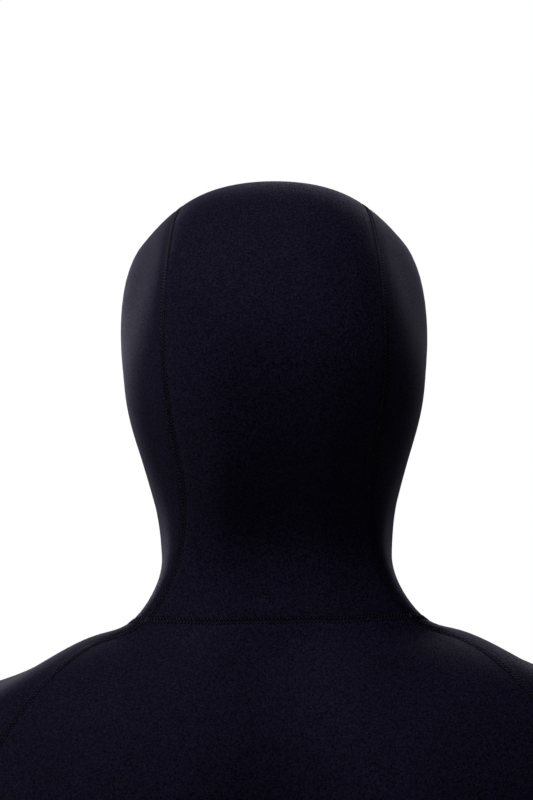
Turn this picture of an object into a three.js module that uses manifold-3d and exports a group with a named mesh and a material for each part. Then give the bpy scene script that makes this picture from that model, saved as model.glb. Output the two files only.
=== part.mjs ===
// A hooded one-piece wetsuit in the shape it has when it is worn: neoprene panels cut and sewn edge to
// edge, a front zip, and seals at the face, wrists and ankles. Millimetres, +Z up, +X to the wearer's
// left, the wearer faces -Y. The origin is the point between the shoulders that carries the suit on a
// wearer or a hanger.
//
// The skin of the suit is one subdivision surface. A chart of rings gives points that lie on that
// surface; the cage behind it is solved so that the surface passes through them, refined once, and cut
// into panels along its edges. Each panel is then given its thickness inwards.
import * as THREE from "three";
import { RoundedBoxGeometry } from "three/addons/geometries/RoundedBoxGeometry.js";
import { mergeVertices } from "three/addons/utils/BufferGeometryUtils.js";
import Module from "manifold-3d";

// ---- driving dimensions --------------------------------------------------------------------------
// heights, measured down the body from the origin between the shoulders
const shoulderToNeckSeam = 86; // up to the seam at the nape
const hoodHeight = 234; // neck seam to crown
const shoulderToArmpit = 110;
const armpitToWaist = 225;
const waistToHip = 180;
const hipToCrotch = 127;
const crotchToKnee = 311;
const kneeToHem = 412; // the ankle hem is 80 above the sole
// half widths and depths of the trunk
const hoodHalfWidth = 83;
const hoodHalfLength = 100;
const chestHalfWidth = 172;
const shoulderHalfWidth = chestHalfWidth + 50; // to the outside of the shoulder muscle
const chestDepth = 112; // front to middle, and middle to back
const waistHalfWidth = 148;
const hipHalfWidth = 175;
// sleeves
const armSpread = 15; // degrees from hanging straight down
const elbowPreBend = 15; // degrees forward, cut into the sleeve
const forearmSpread = 10;
const upperArmLength = 315; // shoulder joint to elbow joint
const forearmLength = 258; // elbow joint to wrist hem
const bicepsRadius = 56;
const elbowRadius = 48;
const wristRadius = 31;
// legs
const thighRadius = 91;
const kneeRadius = 61;
const calfRadius = 61;
const ankleRadius = 40;
const hipJointX = 92;
const kneeX = 110;
const ankleX = 128;
const ankleY = 38; // behind the hip: the knees are cut slightly bent
// material
const trunkNeoprene = 5;
const limbNeoprene = 4;
const sealNeoprene = 2; // wrist, ankle and face seals
const padThickness = 2.2; // knee pads
const seamGap = 0.36;
// zip
const zipSlotHalf = 9; // half the slot between the two chest panels
const zipLean = 3.3; // degrees that the zip leans forward on its way down
const zipTopY = -93;
const zipOverrun = 6.3; // the tapes run on behind the abdomen panel
const tapeWidth = 16;
const tapeThickness = 1;
const chainWidth = 3.4; // one side's row of teeth
const chainHeight = 3.2;
const sliderLength = 17;
const sliderWall = 2;
const tabLength = 34;
const tabWidth = 9;
const tabThickness = 1.8;
const tabPinRadius = 1.3;
const runningGap = 0.35; // between the slider and what it runs on

const rad = THREE.MathUtils.degToRad;
const V = (x, y, z) => new THREE.Vector3(x, y, z);

// ---- heights -------------------------------------------------------------------------------------
const neckSeamZ = shoulderToNeckSeam;
const armpitZ = -shoulderToArmpit;
const waistZ = armpitZ - armpitToWaist;
const hipZ = waistZ - waistToHip;
const crotchZ = hipZ - hipToCrotch;
const kneeZ = crotchZ - crotchToKnee;
const hemZ = kneeZ - kneeToHem;

// ---- the zip's line ------------------------------------------------------------------------------
const zipTopZ = neckSeamZ - 88;
const slotEndZ = waistZ - 0.5 * waistToHip;
const zipLength = (zipTopZ - slotEndZ) / Math.cos(rad(zipLean)) + zipOverrun;
const zipY = (z) => zipTopY - (zipTopZ - z) * Math.tan(rad(zipLean));

// ---- the chart -----------------------------------------------------------------------------------
// A point is kept under "row.column". Only the wearer's left half is charted; the right half is its
// mirror image. Columns round the trunk, from the middle of the back to the zip: spine, blade, rear,
// then over the shoulder (top1 to top3) or down the side (side1 to side3), fore, breast, zip.
const chart = new Map();
const put = (row, column, x, y, z) => chart.set(`${row}.${column}`, V(x, y, z));
const overTop = ["spine", "blade", "rear", "top1", "top2", "top3", "fore", "breast", "zip"];
const roundSide = ["spine", "blade", "rear", "side1", "side2", "side3", "fore", "breast", "zip"];

// The hood, as shares of its half width, half length and height. Its rows fan from the forehead over
// the crown to the neck seam. The rear column is the edge of the centre panel and the top2 column the
// cheek seam; the fore column is the edge of the face opening as far as the jaw.
const hoodRows = {
  brow: [[0.19, -1.04, 0.69], [0.42, -1.01, 0.68], [0.58, -0.95, 0.655], [0.67, -0.88, 0.625],
    [0.74, -0.82, 0.59], [0.78, -0.78, 0.56], [0.8, -0.75, 0.525]],
  hairline: [[0.19, -0.74, 0.9], [0.4, -0.72, 0.885], [0.57, -0.67, 0.85], [0.76, -0.6, 0.755],
    [0.84, -0.56, 0.655], [0.87, -0.6, 0.54], [0.845, -0.67, 0.44]],
  crown: [[0.19, -0.05, 0.996], [0.4, -0.05, 0.971], [0.588, -0.05, 0.947], [0.905, -0.1, 0.832],
    [0.985, -0.13, 0.65], [0.96, -0.34, 0.47], [0.85, -0.63, 0.33]],
  vertex: [[0.19, 0.58, 0.925], [0.42, 0.56, 0.91], [0.665, 0.48, 0.855], [0.93, 0.29, 0.7],
    [0.985, 0.09, 0.55], [0.915, -0.27, 0.38], [0.78, -0.62, 0.235]],
  occiput: [[0.19, 0.9, 0.7], [0.43, 0.87, 0.695], [0.7, 0.75, 0.675], [0.93, 0.44, 0.54],
    [0.922, 0.14, 0.42], [0.82, -0.2, 0.27], [0.745, -0.47, 0.155]],
  skullBase: [[0.19, 0.93, 0.5], [0.43, 0.89, 0.5], [0.68, 0.75, 0.49], [0.85, 0.45, 0.4],
    [0.805, 0.07, 0.278], [0.755, -0.17, 0.175], [0.72, -0.37, 0.09]],
  nape: [[0.19, 0.77, 0.31], [0.4, 0.74, 0.31], [0.6, 0.62, 0.31], [0.73, 0.4, 0.26],
    [0.757, 0.03, 0.16], [0.75, -0.15, 0.1], [0.7, -0.32, 0.035]],
  neck: [[0.19, 0.62, 0.155], [0.4, 0.6, 0.155], [0.63, 0.5, 0.145], [0.745, 0.31, 0.105],
    [0.785, 0.03, 0.055], [0.75, -0.15, 0.028], [0.7, -0.3, -0.025]],
  neckSeam: [[0.19, 0.68, 0], [0.48, 0.64, 0], [0.84, 0.48, 0], [0.955, 0.29, -0.012],
    [0.975, 0.05, -0.038], [0.905, -0.13, -0.072], [0.8, -0.3, -0.12]],
};
// The rows under the chin meet the fore column: from the lower edge of the face opening to the neck
// seam in front.
const chinRows = {
  vertex: [[0.55, -0.9, 0.115], [0.13, -1.07, 0.065]],
  occiput: [[0.53, -0.8, 0.035], [0.12, -0.97, -0.025]],
  skullBase: [[0.51, -0.68, -0.035], [0.12, -0.85, -0.115]],
  nape: [[0.5, -0.6, -0.09], [0.12, -0.76, -0.18]],
  neck: [[0.5, -0.65, -0.16], [0.12, -0.77, -0.245]],
  neckSeam: [[0.56, -0.79, -0.24], [0.12, -0.86, -0.315]],
};
const hoodColumns = overTop.slice(0, 7);
const hoodPoint = ([x, y, z]) => [x * hoodHalfWidth, y * hoodHalfLength, neckSeamZ + z * hoodHeight];
for (const [row, points] of Object.entries(hoodRows))
  points.forEach((point, i) => put(row, hoodColumns[i], ...hoodPoint(point)));
for (const [row, points] of Object.entries(chinRows))
  points.forEach((point, i) => put(row, ["breast", "zip"][i], ...hoodPoint(point)));

// The shoulders, as shares of their half width and depth, and of the way up from the armpit to the neck
// seam. The rear and fore columns are the raglan seams.
const shoulderRows = {
  collar: [[0.072, 0.68, 0.9], [0.25, 0.65, 0.91], [0.435, 0.34, 0.935], [0.455, 0.14, 0.942],
    [0.46, -0.04, 0.92], [0.435, -0.2, 0.87], [0.4, -0.38, 0.805], [0.24, -0.8, 0.65], [0.04, 0, 0.545]],
  yoke: [[0.072, 0.8, 0.775], [0.29, 0.8, 0.785], [0.545, 0.56, 0.853], [0.605, 0.27, 0.858],
    [0.615, 0.02, 0.84], [0.57, -0.27, 0.79], [0.49, -0.54, 0.7], [0.28, -0.89, 0.53], [0.04, 0, 0.43]],
  blade: [[0.072, 0.91, 0.61], [0.33, 0.95, 0.615], [0.655, 0.74, 0.69], [0.775, 0.45, 0.75],
    [0.81, 0.04, 0.765], [0.73, -0.38, 0.68], [0.59, -0.65, 0.52], [0.33, -0.95, 0.36], [0.04, 0, 0.3]],
  breast: [[0.072, 0.96, 0.36], [0.37, 1.02, 0.36], [0.722, 0.79, 0.43], [0.925, 0.54, 0.54],
    [1, 0.04, 0.6], [0.88, -0.45, 0.5], [0.665, -0.72, 0.32], [0.365, -1.03, 0.19], [0.04, 0, 0.165]],
};
const shoulderSpan = neckSeamZ - armpitZ;
for (const [row, points] of Object.entries(shoulderRows))
  points.forEach(([x, y, z], i) =>
    put(row, overTop[i], x * shoulderHalfWidth, y * chestDepth, armpitZ + z * shoulderSpan));

// The trunk below the armpits: each row has its height, half width, front and back depth. The columns
// stand at fixed angles round a squarish oval; the first row's rear and fore columns are where the
// sleeve's seams reach the armpit.
const squareness = 2.5; // exponent of the oval
const trunkAngles = { blade: 57, rear: 30, side1: 15, side2: 0, side3: -15, fore: -30, breast: -55 };
const trunkRows = {
  armpit: {
    z: armpitZ,
    width: chestHalfWidth,
    front: chestDepth * 1.01,
    back: chestDepth * 1.02,
    rise: 12,
  },
  ribs: {
    z: armpitZ - 0.25 * armpitToWaist,
    width: chestHalfWidth * 0.965,
    front: chestDepth,
    back: chestDepth * 0.98,
  },
  midriff: {
    z: armpitZ - 0.62 * armpitToWaist,
    width: (chestHalfWidth + waistHalfWidth) / 2 - 3,
    front: chestDepth * 0.975,
    back: chestDepth * 0.88,
  },
  waist: { z: waistZ, width: waistHalfWidth, front: chestDepth * 0.98, back: chestDepth * 0.8 },
  belly: {
    z: slotEndZ,
    width: (waistHalfWidth + hipHalfWidth) / 2,
    front: chestDepth * 1.03,
    back: chestDepth * 0.93,
  },
  hip: { z: hipZ, width: hipHalfWidth, front: chestDepth * 0.99, back: chestDepth * 1.13 },
};
for (const [row, { z, width, front, back, rise = 0 }] of Object.entries(trunkRows)) {
  for (const [column, degrees] of Object.entries(trunkAngles)) {
    const c = Math.cos(rad(degrees)) ** (2 / squareness);
    const s = Math.sign(degrees) * Math.abs(Math.sin(rad(degrees))) ** (2 / squareness);
    put(row, column, width * c, s * (s < 0 ? front : back), z + (/rear|fore/.test(column) ? rise : 0));
  }
  put(row, "spine", 16, back * 0.965, z);
  put(row, "zip", zipSlotHalf, -front, z);
}

// Down to the belly the front edges lie on the zip's line.
const zipRows = ["neckSeam", ...Object.keys(shoulderRows), "armpit", "ribs", "midriff", "waist", "belly"];
for (const row of zipRows) {
  const p = chart.get(`${row}.zip`);
  put(row, "zip", zipSlotHalf, zipY(p.z), p.z);
}

// The leg line of the seat, from the groin over the hip to the crotch: offsets from the hip's height.
const groin = {
  spine: [16, 1.02, -0.8],
  blade: [80, 1.16, -0.62],
  rear: [142, 0.88, -0.36],
  side1: [168, 0.48, -0.2],
  side2: [176, 0.04, -0.14],
  side3: [166, -0.42, -0.2],
  fore: [132, -0.72, -0.31],
  breast: [70, -0.9, -0.48],
  zip: [zipSlotHalf, -0.88, -0.62],
};
const hipScale = hipHalfWidth / 175;
for (const [column, [x, y, z]] of Object.entries(groin))
  put("groin", column, x * (column === "zip" ? 1 : hipScale), y * chestDepth, hipZ + z * hipToCrotch);
put("groin", "fork1", 12, -0.55 * chestDepth, crotchZ + 0.1 * hipToCrotch);
put("groin", "fork2", 14, -0.05 * chestDepth, crotchZ);
put("groin", "fork3", 15, 0.48 * chestDepth, crotchZ + 0.04 * hipToCrotch);

// A limb's ring: columns at even angles round a centre, from the outside (0) to the back (90) and the
// inside (180).
function limbRing(row, columns, centre, along, { out, front = out, back = out, inside = out }) {
  const outward = V(1, 0, 0).addScaledVector(along, -along.x).normalize();
  const backward = V(0, 1, 0).addScaledVector(along, -along.y).addScaledVector(outward, -outward.y);
  backward.normalize();
  columns.forEach((column, i) => {
    const angle = (i * 2 * Math.PI) / columns.length;
    const [c, s] = [Math.cos(angle), Math.sin(angle)];
    const p = centre.clone().addScaledVector(outward, c * (c > 0 ? out : inside));
    p.addScaledVector(backward, s * (s > 0 ? back : front));
    chart.set(`${row}.${column}`, p);
  });
}

// The sleeve: its rings stand square to the upper arm, then to the forearm.
const armColumns = ["top2", "top1", "rear", "side1", "side2", "side3", "fore", "top3"];
const shoulderJoint = V(chestHalfWidth + 17, 5, -25);
const upperArmWay = V(Math.sin(rad(armSpread)), 0, -Math.cos(rad(armSpread)));
const forearmWay = V(Math.sin(rad(forearmSpread)), -Math.sin(rad(elbowPreBend)), -1).normalize();
const elbow = shoulderJoint.clone().addScaledVector(upperArmWay, upperArmLength);
const elbowWay = upperArmWay.clone().add(forearmWay).normalize();
const elbowHalf = 60; // half the length of the elbow panel
put("armpit", "top1", 0.985 * shoulderHalfWidth, 0.56 * chestDepth, armpitZ + 0.27 * shoulderSpan);
put("armpit", "top2", 1.085 * shoulderHalfWidth, 0.04 * chestDepth, armpitZ + 0.34 * shoulderSpan);
put("armpit", "top3", 0.95 * shoulderHalfWidth, -0.47 * chestDepth, armpitZ + 0.25 * shoulderSpan);
const alongUpperArm = (d) => shoulderJoint.clone().addScaledVector(upperArmWay, d);
const alongForearm = (d) => elbow.clone().addScaledVector(forearmWay, d);
const upperSleeveRows = {
  deltoid: [0.46 * upperArmLength, { out: bicepsRadius + 2, front: bicepsRadius + 2 }],
  biceps: [0.66 * upperArmLength, { out: bicepsRadius - 4, front: bicepsRadius }],
  aboveElbow: [upperArmLength - elbowHalf, { out: elbowRadius + 2, front: elbowRadius + 3 }],
};
const lowerSleeveRows = {
  belowElbow: [elbowHalf, { out: elbowRadius + 1, front: elbowRadius - 1 }],
  forearm: [0.5 * forearmLength, { out: 0.55 * elbowRadius + 0.45 * wristRadius + 3 }],
  cuff: [forearmLength - 50, { out: wristRadius + 2, front: wristRadius - 2 }],
  wrist: [forearmLength, { out: wristRadius, front: wristRadius - 4 }],
};
for (const [row, [distance, radii]] of Object.entries(upperSleeveRows))
  limbRing(row, armColumns, alongUpperArm(distance), upperArmWay, radii);
const elbowRadii = { out: elbowRadius, front: elbowRadius - 2, back: elbowRadius + 1 };
limbRing("elbow", armColumns, elbow, elbowWay, elbowRadii);
for (const [row, [distance, radii]] of Object.entries(lowerSleeveRows))
  limbRing(row, armColumns, alongForearm(distance), forearmWay, radii);

// The leg.
const legColumns = ["side2", "side1", "rear", "blade", "spine", "fork3"];
legColumns.push("fork2", "fork1", "zip", "breast", "fore", "side3");
const hipJoint = V(hipJointX, 5, crotchZ + 67);
const knee = V(kneeX, -2, kneeZ);
const ankle = V(ankleX, ankleY, hemZ);
const thighWay = knee.clone().sub(hipJoint).normalize();
const shinWay = ankle.clone().sub(knee).normalize();
const kneeHalf = 78; // half the length of the knee panel
const alongThigh = (z) =>
  hipJoint.clone().addScaledVector(thighWay, (z - hipJoint.z) / thighWay.z);
const alongShin = (z) => knee.clone().addScaledVector(shinWay, (z - knee.z) / shinWay.z);
const level = V(0, 0, -1);
const thighRows = {
  thighTop: [0.11, { out: thighRadius, inside: thighRadius - 4, back: thighRadius + 5 }],
  thigh: [0.35, { out: thighRadius * 0.92, inside: thighRadius * 0.88 }],
  thighSeam: [0.54, { out: thighRadius * 0.84 }],
};
for (const [row, [share, radii]] of Object.entries(thighRows))
  limbRing(row, legColumns, alongThigh(crotchZ - share * crotchToKnee), level, radii);
const aboveKneeRadii = { out: thighRadius * 0.3 + kneeRadius * 0.68 };
limbRing("aboveKnee", legColumns, alongThigh(kneeZ + kneeHalf), level, aboveKneeRadii);
const kneeRadii = { out: kneeRadius, front: kneeRadius + 3, back: kneeRadius - 3 };
limbRing("knee", legColumns, knee, level, kneeRadii);
const shinRows = {
  belowKnee: [kneeZ - kneeHalf, { out: kneeRadius - 4, front: kneeRadius - 8, back: kneeRadius - 2 }],
  calf: [kneeZ - 0.35 * kneeToHem, { out: calfRadius - 3, front: calfRadius - 10, back: calfRadius + 3 }],
  lowerCalf: [kneeZ - 0.6 * kneeToHem, { out: ankleRadius + 8, back: ankleRadius + 11 }],
  ankleSeam: [hemZ + 55, { out: ankleRadius - 1, back: ankleRadius + 1 }],
  ankle: [hemZ, { out: ankleRadius }],
};
for (const [row, [z, radii]] of Object.entries(shinRows))
  limbRing(row, legColumns, alongShin(z), level, radii);

// ---- the cage: quads between neighbouring rows and columns, each marked with its panel -----------
const cage = { points: [], targets: [], faces: [] };
const index = new Map();
function vertex(key, side) {
  const name = `${side}${key}`;
  if (!index.has(name)) {
    const p = chart.get(key).clone();
    if (side < 0) p.x = -p.x;
    index.set(name, cage.points.length);
    cage.points.push(p);
  }
  return index.get(name);
}
// A quad on both halves of the suit. "@" in a panel's name becomes left or right.
function quad(panel, a, b, c, d) {
  const left = [a, d, c, b].map((k) => vertex(k, 1));
  const right = [a, b, c, d].map((k) => vertex(k, -1));
  cage.faces.push({ corners: left, panel: panel.replace("@", "left") });
  cage.faces.push({ corners: right, panel: panel.replace("@", "right") });
}
// Faces down a strip between two columns; rows run down, columns run from the back round to the front.
function strip(rows, columns, panelOf) {
  for (let r = 0; r + 1 < rows.length; r++)
    for (let c = 0; c + 1 < columns.length; c++) {
      const [upper, lower] = [rows[r], rows[r + 1]];
      const [near, far] = [columns[c], columns[c + 1]];
      const corners = [`${upper}.${near}`, `${lower}.${near}`, `${lower}.${far}`, `${upper}.${far}`];
      quad(panelOf(upper, near), ...corners);
    }
}
// The single column of faces that joins the two halves, at the back (spine) or the front (zip).
function middle(keys, panels, atBack) {
  for (let r = 0; r + 1 < keys.length; r++) {
    if (!panels[r]) continue;
    const [upper, lower] = [keys[r], keys[r + 1]];
    const face = [vertex(upper, -1), vertex(lower, -1), vertex(lower, 1), vertex(upper, 1)];
    cage.faces.push({ corners: atBack ? face.reverse() : face, panel: panels[r] });
  }
}
const keysOf = (rows, column) => rows.map((row) => `${row}.${column}`);

const hoodRowNames = Object.keys(hoodRows);
const neckRows = ["skullBase", "nape", "neck"]; // the part of the hood that bends when the head tips back
const hoodPart = (whole, neck) => (row) => (neckRows.includes(row) ? neck : whole);
strip(hoodRowNames, ["spine", "blade", "rear"], hoodPart("hood_centre_panel", "neck_back_section"));
strip(hoodRowNames, ["rear", "top1", "top2"], hoodPart("hood_@_panel", "neck_@_section"));
strip(hoodRowNames, ["top2", "top3", "fore"], () => "hood_face_panel");
const chinRowNames = Object.keys(chinRows);
strip(chinRowNames, ["fore", "breast", "zip"], () => "hood_face_panel");
const hoodBack = hoodRowNames.map(hoodPart("hood_centre_panel", "neck_back_section"));
middle(keysOf(hoodRowNames, "spine"), hoodBack, true);
middle(keysOf(chinRowNames, "zip"), chinRowNames.map(() => "hood_face_panel"), false);

const shoulderRowNames = ["neckSeam", ...Object.keys(shoulderRows), "armpit"];
strip(shoulderRowNames, ["spine", "blade", "rear"], () => "back_panel");
strip(shoulderRowNames, ["rear", "top1", "top2", "top3", "fore"], () => "@_raglan_panel");
strip(shoulderRowNames, ["fore", "breast", "zip"], () => "chest_@_panel");

const trunkRowNames = [...Object.keys(trunkRows), "groin"];
const isLowest = (row) => ["belly", "hip"].includes(row);
function backPart(row) {
  if (isLowest(row)) return "seat_panel";
  return row === "waist" ? "lumbar_panel" : "back_panel";
}
strip(trunkRowNames, ["spine", "blade", "rear"], backPart);
strip(trunkRowNames, ["rear", "side1", "side2", "side3", "fore"], () => "@_side_panel");
const frontPart = (row) => (isLowest(row) ? "abdomen_panel" : "chest_@_panel");
strip(trunkRowNames, ["fore", "breast", "zip"], frontPart);
const middleRows = [...shoulderRowNames, ...trunkRowNames.slice(1)];
middle(keysOf(middleRows, "spine"), middleRows.map(backPart), true);
// Above the belly the zip's slot stands open.
const slotPart = (row) => (isLowest(row) ? "abdomen_panel" : "zip_slot");
middle(keysOf(middleRows, "zip"), middleRows.map(slotPart), false);
const fork = ["zip", "fork1", "fork2", "fork3", "spine"].map((column) => `groin.${column}`);
middle(fork, Array(4).fill("crotch_gusset"), false);

const aboveElbow = ["armpit", ...Object.keys(upperSleeveRows)];
const sleeveRowNames = [...aboveElbow, "elbow", ...Object.keys(lowerSleeveRows)];
const ringOf = (columns) => [...columns, columns[0]];
const isTop = (column) => ["rear", "top1", "top2", "top3"].includes(column);
const sleeveParts = {
  biceps: "@_upper_sleeve",
  aboveElbow: "@_elbow_panel",
  elbow: "@_elbow_panel",
  belowElbow: "@_forearm_panel",
  forearm: "@_forearm_panel",
  cuff: "@_wrist_cuff",
};
function sleevePart(row, column) {
  return sleeveParts[row] ?? (isTop(column) ? "@_raglan_panel" : "@_underarm_panel");
}
const roundArm = ["rear", "top1", "top2", "top3", "fore", "side3", "side2", "side1"];
strip(sleeveRowNames, ringOf(roundArm), sleevePart);

const legRowNames = ["groin", ...Object.keys(thighRows), "aboveKnee", "knee", ...Object.keys(shinRows)];
const isFront = (column) => ["side3", "fore", "breast", "zip", "side2"].includes(column);
const legParts = {
  thighSeam: "@_thigh_panel",
  aboveKnee: "@_knee_panel",
  knee: "@_knee_panel",
  ankleSeam: "@_ankle_cuff",
};
function legPart(row, column) {
  if (legParts[row]) return legParts[row];
  const isShin = ["belowKnee", "calf", "lowerCalf"].includes(row);
  if (isShin) return isFront(column) ? "@_shin_panel" : "@_calf_panel";
  return isFront(column) ? "@_front_thigh_panel" : "@_rear_thigh_panel";
}
const roundLeg = [legColumns[0], ...legColumns.slice(1).reverse()];
strip(legRowNames, ringOf(roundLeg), legPart);

// ---- the subdivision surface ---------------------------------------------------------------------
const edgeKey = (a, b) => (a < b ? `${a},${b}` : `${b},${a}`);
// What each vertex touches: its faces, its edges' far ends, and which of its edges lie on an opening.
function neighbourhood({ points, faces }) {
  const edges = new Map();
  faces.forEach(({ corners }, f) =>
    corners.forEach((a, i) => {
      const b = corners[(i + 1) % 4];
      const key = edgeKey(a, b);
      if (!edges.has(key)) edges.set(key, { ends: [a, b], faces: [] });
      edges.get(key).faces.push(f);
    }));
  const around = points.map(() => ({ ends: [], rim: [], faces: new Set() }));
  for (const { ends: [a, b], faces: fs } of edges.values())
    for (const [from, to] of [[a, b], [b, a]]) {
      around[from].ends.push(to);
      if (fs.length === 1) around[from].rim.push(to);
      fs.forEach((f) => around[from].faces.add(f));
    }
  return { edges, around };
}
const mean = (vectors) => vectors.reduce((sum, v) => sum.add(v), V(0, 0, 0)).divideScalar(vectors.length);

// Where the finished surface passes nearest to each cage vertex.
function limitPoints({ points, faces }, around) {
  return points.map((p, i) => {
    const { ends, rim, faces: fs } = around[i];
    if (rim.length) return mean(rim.map((j) => points[j])).addScaledVector(p, 2).divideScalar(3);
    const n = ends.length;
    const sum = p.clone().multiplyScalar(n * n);
    ends.forEach((j) => sum.addScaledVector(points[j], 4));
    for (const f of fs) {
      const corners = faces[f].corners;
      sum.add(points[corners[(corners.indexOf(i) + 2) % 4]]);
    }
    return sum.divideScalar(n * (n + 5));
  });
}
// Moves the cage until the surface passes through the charted points.
function solveCage(mesh, rounds = 14) {
  const { around } = neighbourhood(mesh);
  const charted = mesh.points.map((p) => p.clone());
  for (let round = 0; round < rounds; round++) {
    const reached = limitPoints(mesh, around);
    mesh.points = mesh.points.map((p, i) => p.clone().add(charted[i]).sub(reached[i]));
  }
}
// One round of Catmull-Clark refinement.
function refine(mesh) {
  const { points, faces } = mesh;
  const { edges, around } = neighbourhood(mesh);
  const facePoints = faces.map(({ corners }) => mean(corners.map((i) => points[i])));
  const made = points.map((p, i) => {
    const { ends, rim, faces: fs } = around[i];
    if (rim.length) return mean(rim.map((j) => points[j])).addScaledVector(p, 3).divideScalar(4);
    const n = ends.length;
    const middles = mean(ends.map((j) => points[j].clone().add(p).divideScalar(2)));
    const sum = mean([...fs].map((f) => facePoints[f])).addScaledVector(middles, 2);
    return sum.addScaledVector(p, n - 3).divideScalar(n);
  });
  const faceAt = facePoints.map((p) => made.push(p) - 1);
  const edgeAt = new Map();
  for (const [key, { ends: [a, b], faces: fs }] of edges) {
    const m = points[a].clone().add(points[b]);
    if (fs.length === 2) m.add(facePoints[fs[0]]).add(facePoints[fs[1]]).divideScalar(2);
    edgeAt.set(key, made.push(m.divideScalar(2)) - 1);
  }
  const quads = faces.flatMap(({ corners, panel }, f) =>
    corners.map((a, i) => {
      const onward = edgeAt.get(edgeKey(a, corners[(i + 1) % 4]));
      const back = edgeAt.get(edgeKey(corners[(i + 3) % 4], a));
      return { corners: [a, onward, faceAt[f], back], panel };
    }));
  return { points: made, faces: quads };
}

solveCage(cage);
const skin = refine(cage);
skin.points = limitPoints(skin, neighbourhood(skin).around);
// The two edges of the zip's slot lie exactly on its straight line.
const slotFaces = skin.faces.filter((f) => f.panel === "zip_slot");
for (const i of new Set(slotFaces.flatMap((f) => f.corners))) {
  const p = skin.points[i];
  p.y = zipY(p.z);
  if (Math.abs(p.x) > 0.5 * zipSlotHalf) p.x = Math.sign(p.x) * zipSlotHalf;
}

// Unit normals of the skin, pointing out of the suit.
const skinNormals = skin.points.map(() => V(0, 0, 0));
for (const { corners } of skin.faces) {
  const [a, b, c, d] = corners.map((i) => skin.points[i]);
  const n = c.clone().sub(a).cross(d.clone().sub(b));
  corners.forEach((i) => skinNormals[i].add(n));
}
skinNormals.forEach((n) => n.normalize());

// The free edges of the skin: the face opening and the hems. At a hem the wall is cut square to the
// limb.
const onRim = neighbourhood(skin).around.map(({ rim }) => rim.length > 0);
for (const { corners, panel } of skin.faces) {
  if (!/wrist_cuff|ankle_cuff/.test(panel)) continue;
  const side = panel.startsWith("left") ? 1 : -1;
  const atWrist = panel.endsWith("wrist_cuff");
  const way = atWrist ? V(side * forearmWay.x, forearmWay.y, forearmWay.z) : level;
  for (const i of corners)
    if (onRim[i]) skinNormals[i].addScaledVector(way, -skinNormals[i].dot(way)).normalize();
}

// ---- solids from the skin ------------------------------------------------------------------------
// A closed solid over some of the skin's faces, between two distances from it, drawn in by `inset` at
// its seams and by `rimInset` at the skin's free edges.
function shell(faces, outer, inner, inset = seamGap / 2, rimInset = 0) {
  const used = [...new Set(faces.flatMap((f) => f.corners))];
  const place = new Map(used.map((i, n) => [i, n]));
  const inward = used.map(() => V(0, 0, 0));
  const edges = new Map();
  for (const { corners } of faces) {
    const centre = mean(corners.map((i) => skin.points[i]));
    corners.forEach((a, i) => {
      const b = corners[(i + 1) % 4];
      edges.set(`${a},${b}`, [a, b]);
      inward[place.get(a)].add(centre.clone().sub(skin.points[a]).normalize());
    });
  }
  const border = [...edges.values()].filter(([a, b]) => !edges.has(`${b},${a}`));
  const borderWays = new Map(border.flat().map((i) => [i, []]));
  for (const [a, b] of border) {
    const way = skin.points[b].clone().sub(skin.points[a]).normalize();
    borderWays.get(a).push(way);
    borderWays.get(b).push(way);
  }
  const at = (i, distance) => {
    const p = skin.points[i].clone();
    if (borderWays.has(i)) {
      const way = inward[place.get(i)].clone();
      way.addScaledVector(skinNormals[i], -way.dot(skinNormals[i])).normalize();
      // At a corner the point moves further, so that both edges are drawn in by the same distance.
      const ways = borderWays.get(i);
      const share = ways.reduce((sum, edge) => sum + edge.clone().cross(way).length(), 0) / ways.length;
      p.addScaledVector(way, (onRim[i] ? rimInset : inset) / Math.max(share, 0.5));
    }
    return p.addScaledVector(skinNormals[i], distance);
  };
  // The walls of trunk panels are divided at the depth of the limb neoprene, to match a limb panel's.
  const divided = outer === 0 && inner < -limbNeoprene;
  const points = [outer, inner, -limbNeoprene].flatMap((depth) => used.map((i) => at(i, depth)));
  const triangles = [];
  const addQuad = (a, b, c, d) => {
    const cutAC = points[a].distanceTo(points[c]) > points[b].distanceTo(points[d]);
    triangles.push(...(cutAC ? [a, b, c, a, c, d] : [a, b, d, b, c, d]));
  };
  const n = used.length;
  for (const { corners } of faces) {
    const [a, b, c, d] = corners.map((i) => place.get(i));
    addQuad(a, b, c, d);
    addQuad(n + d, n + c, n + b, n + a);
  }
  // The walls of a seam's two panels are cut along the same diagonal, so that they stay parallel.
  const rings = divided ? [0, 2 * n, n] : [0, n];
  for (const [a, b] of border)
    rings.slice(1).forEach((ring, k) => {
      const [outerA, outerB] = [rings[k] + place.get(a), rings[k] + place.get(b)];
      const [innerA, innerB] = [ring + place.get(a), ring + place.get(b)];
      const third = a < b ? innerB : innerA;
      const fourth = a < b ? outerA : outerB;
      triangles.push(outerB, outerA, third, fourth, innerA, innerB);
    });
  const geometry = new THREE.BufferGeometry().setFromPoints(points);
  geometry.setIndex(triangles);
  geometry.computeVertexNormals();
  return geometry;
}

const suit = new THREE.Group();
const finish = (color, roughness) => new THREE.MeshStandardMaterial({ color, roughness });
const materials = {
  jersey: finish(0x0c0b12, 0.8),
  smoothSkin: finish(0x08080a, 0.35),
  pad: finish(0x101014, 0.6),
  tape: finish(0x0a0a0c, 0.9),
  teeth: finish(0x0b0b0d, 0.4),
  moulded: finish(0x0d0d10, 0.35),
};
function add(name, geometry, material, parent = suit) {
  const mesh = new THREE.Mesh(geometry, material);
  mesh.name = name;
  parent.add(mesh);
  return mesh;
}
const isLimb = (panel) => /raglan|underarm|sleeve|elbow|forearm|wrist/.test(panel);
const thicknessOf = (panel) => (isLimb(panel) ? limbNeoprene : trunkNeoprene);
const facesOf = (...panels) => skin.faces.filter((f) => panels.includes(f.panel));

const panels = [...new Set(skin.faces.map((f) => f.panel))].filter((p) => p !== "zip_slot");
for (const panel of panels) add(panel, shell(facesOf(panel), 0, -thicknessOf(panel)), materials.jersey);

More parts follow.
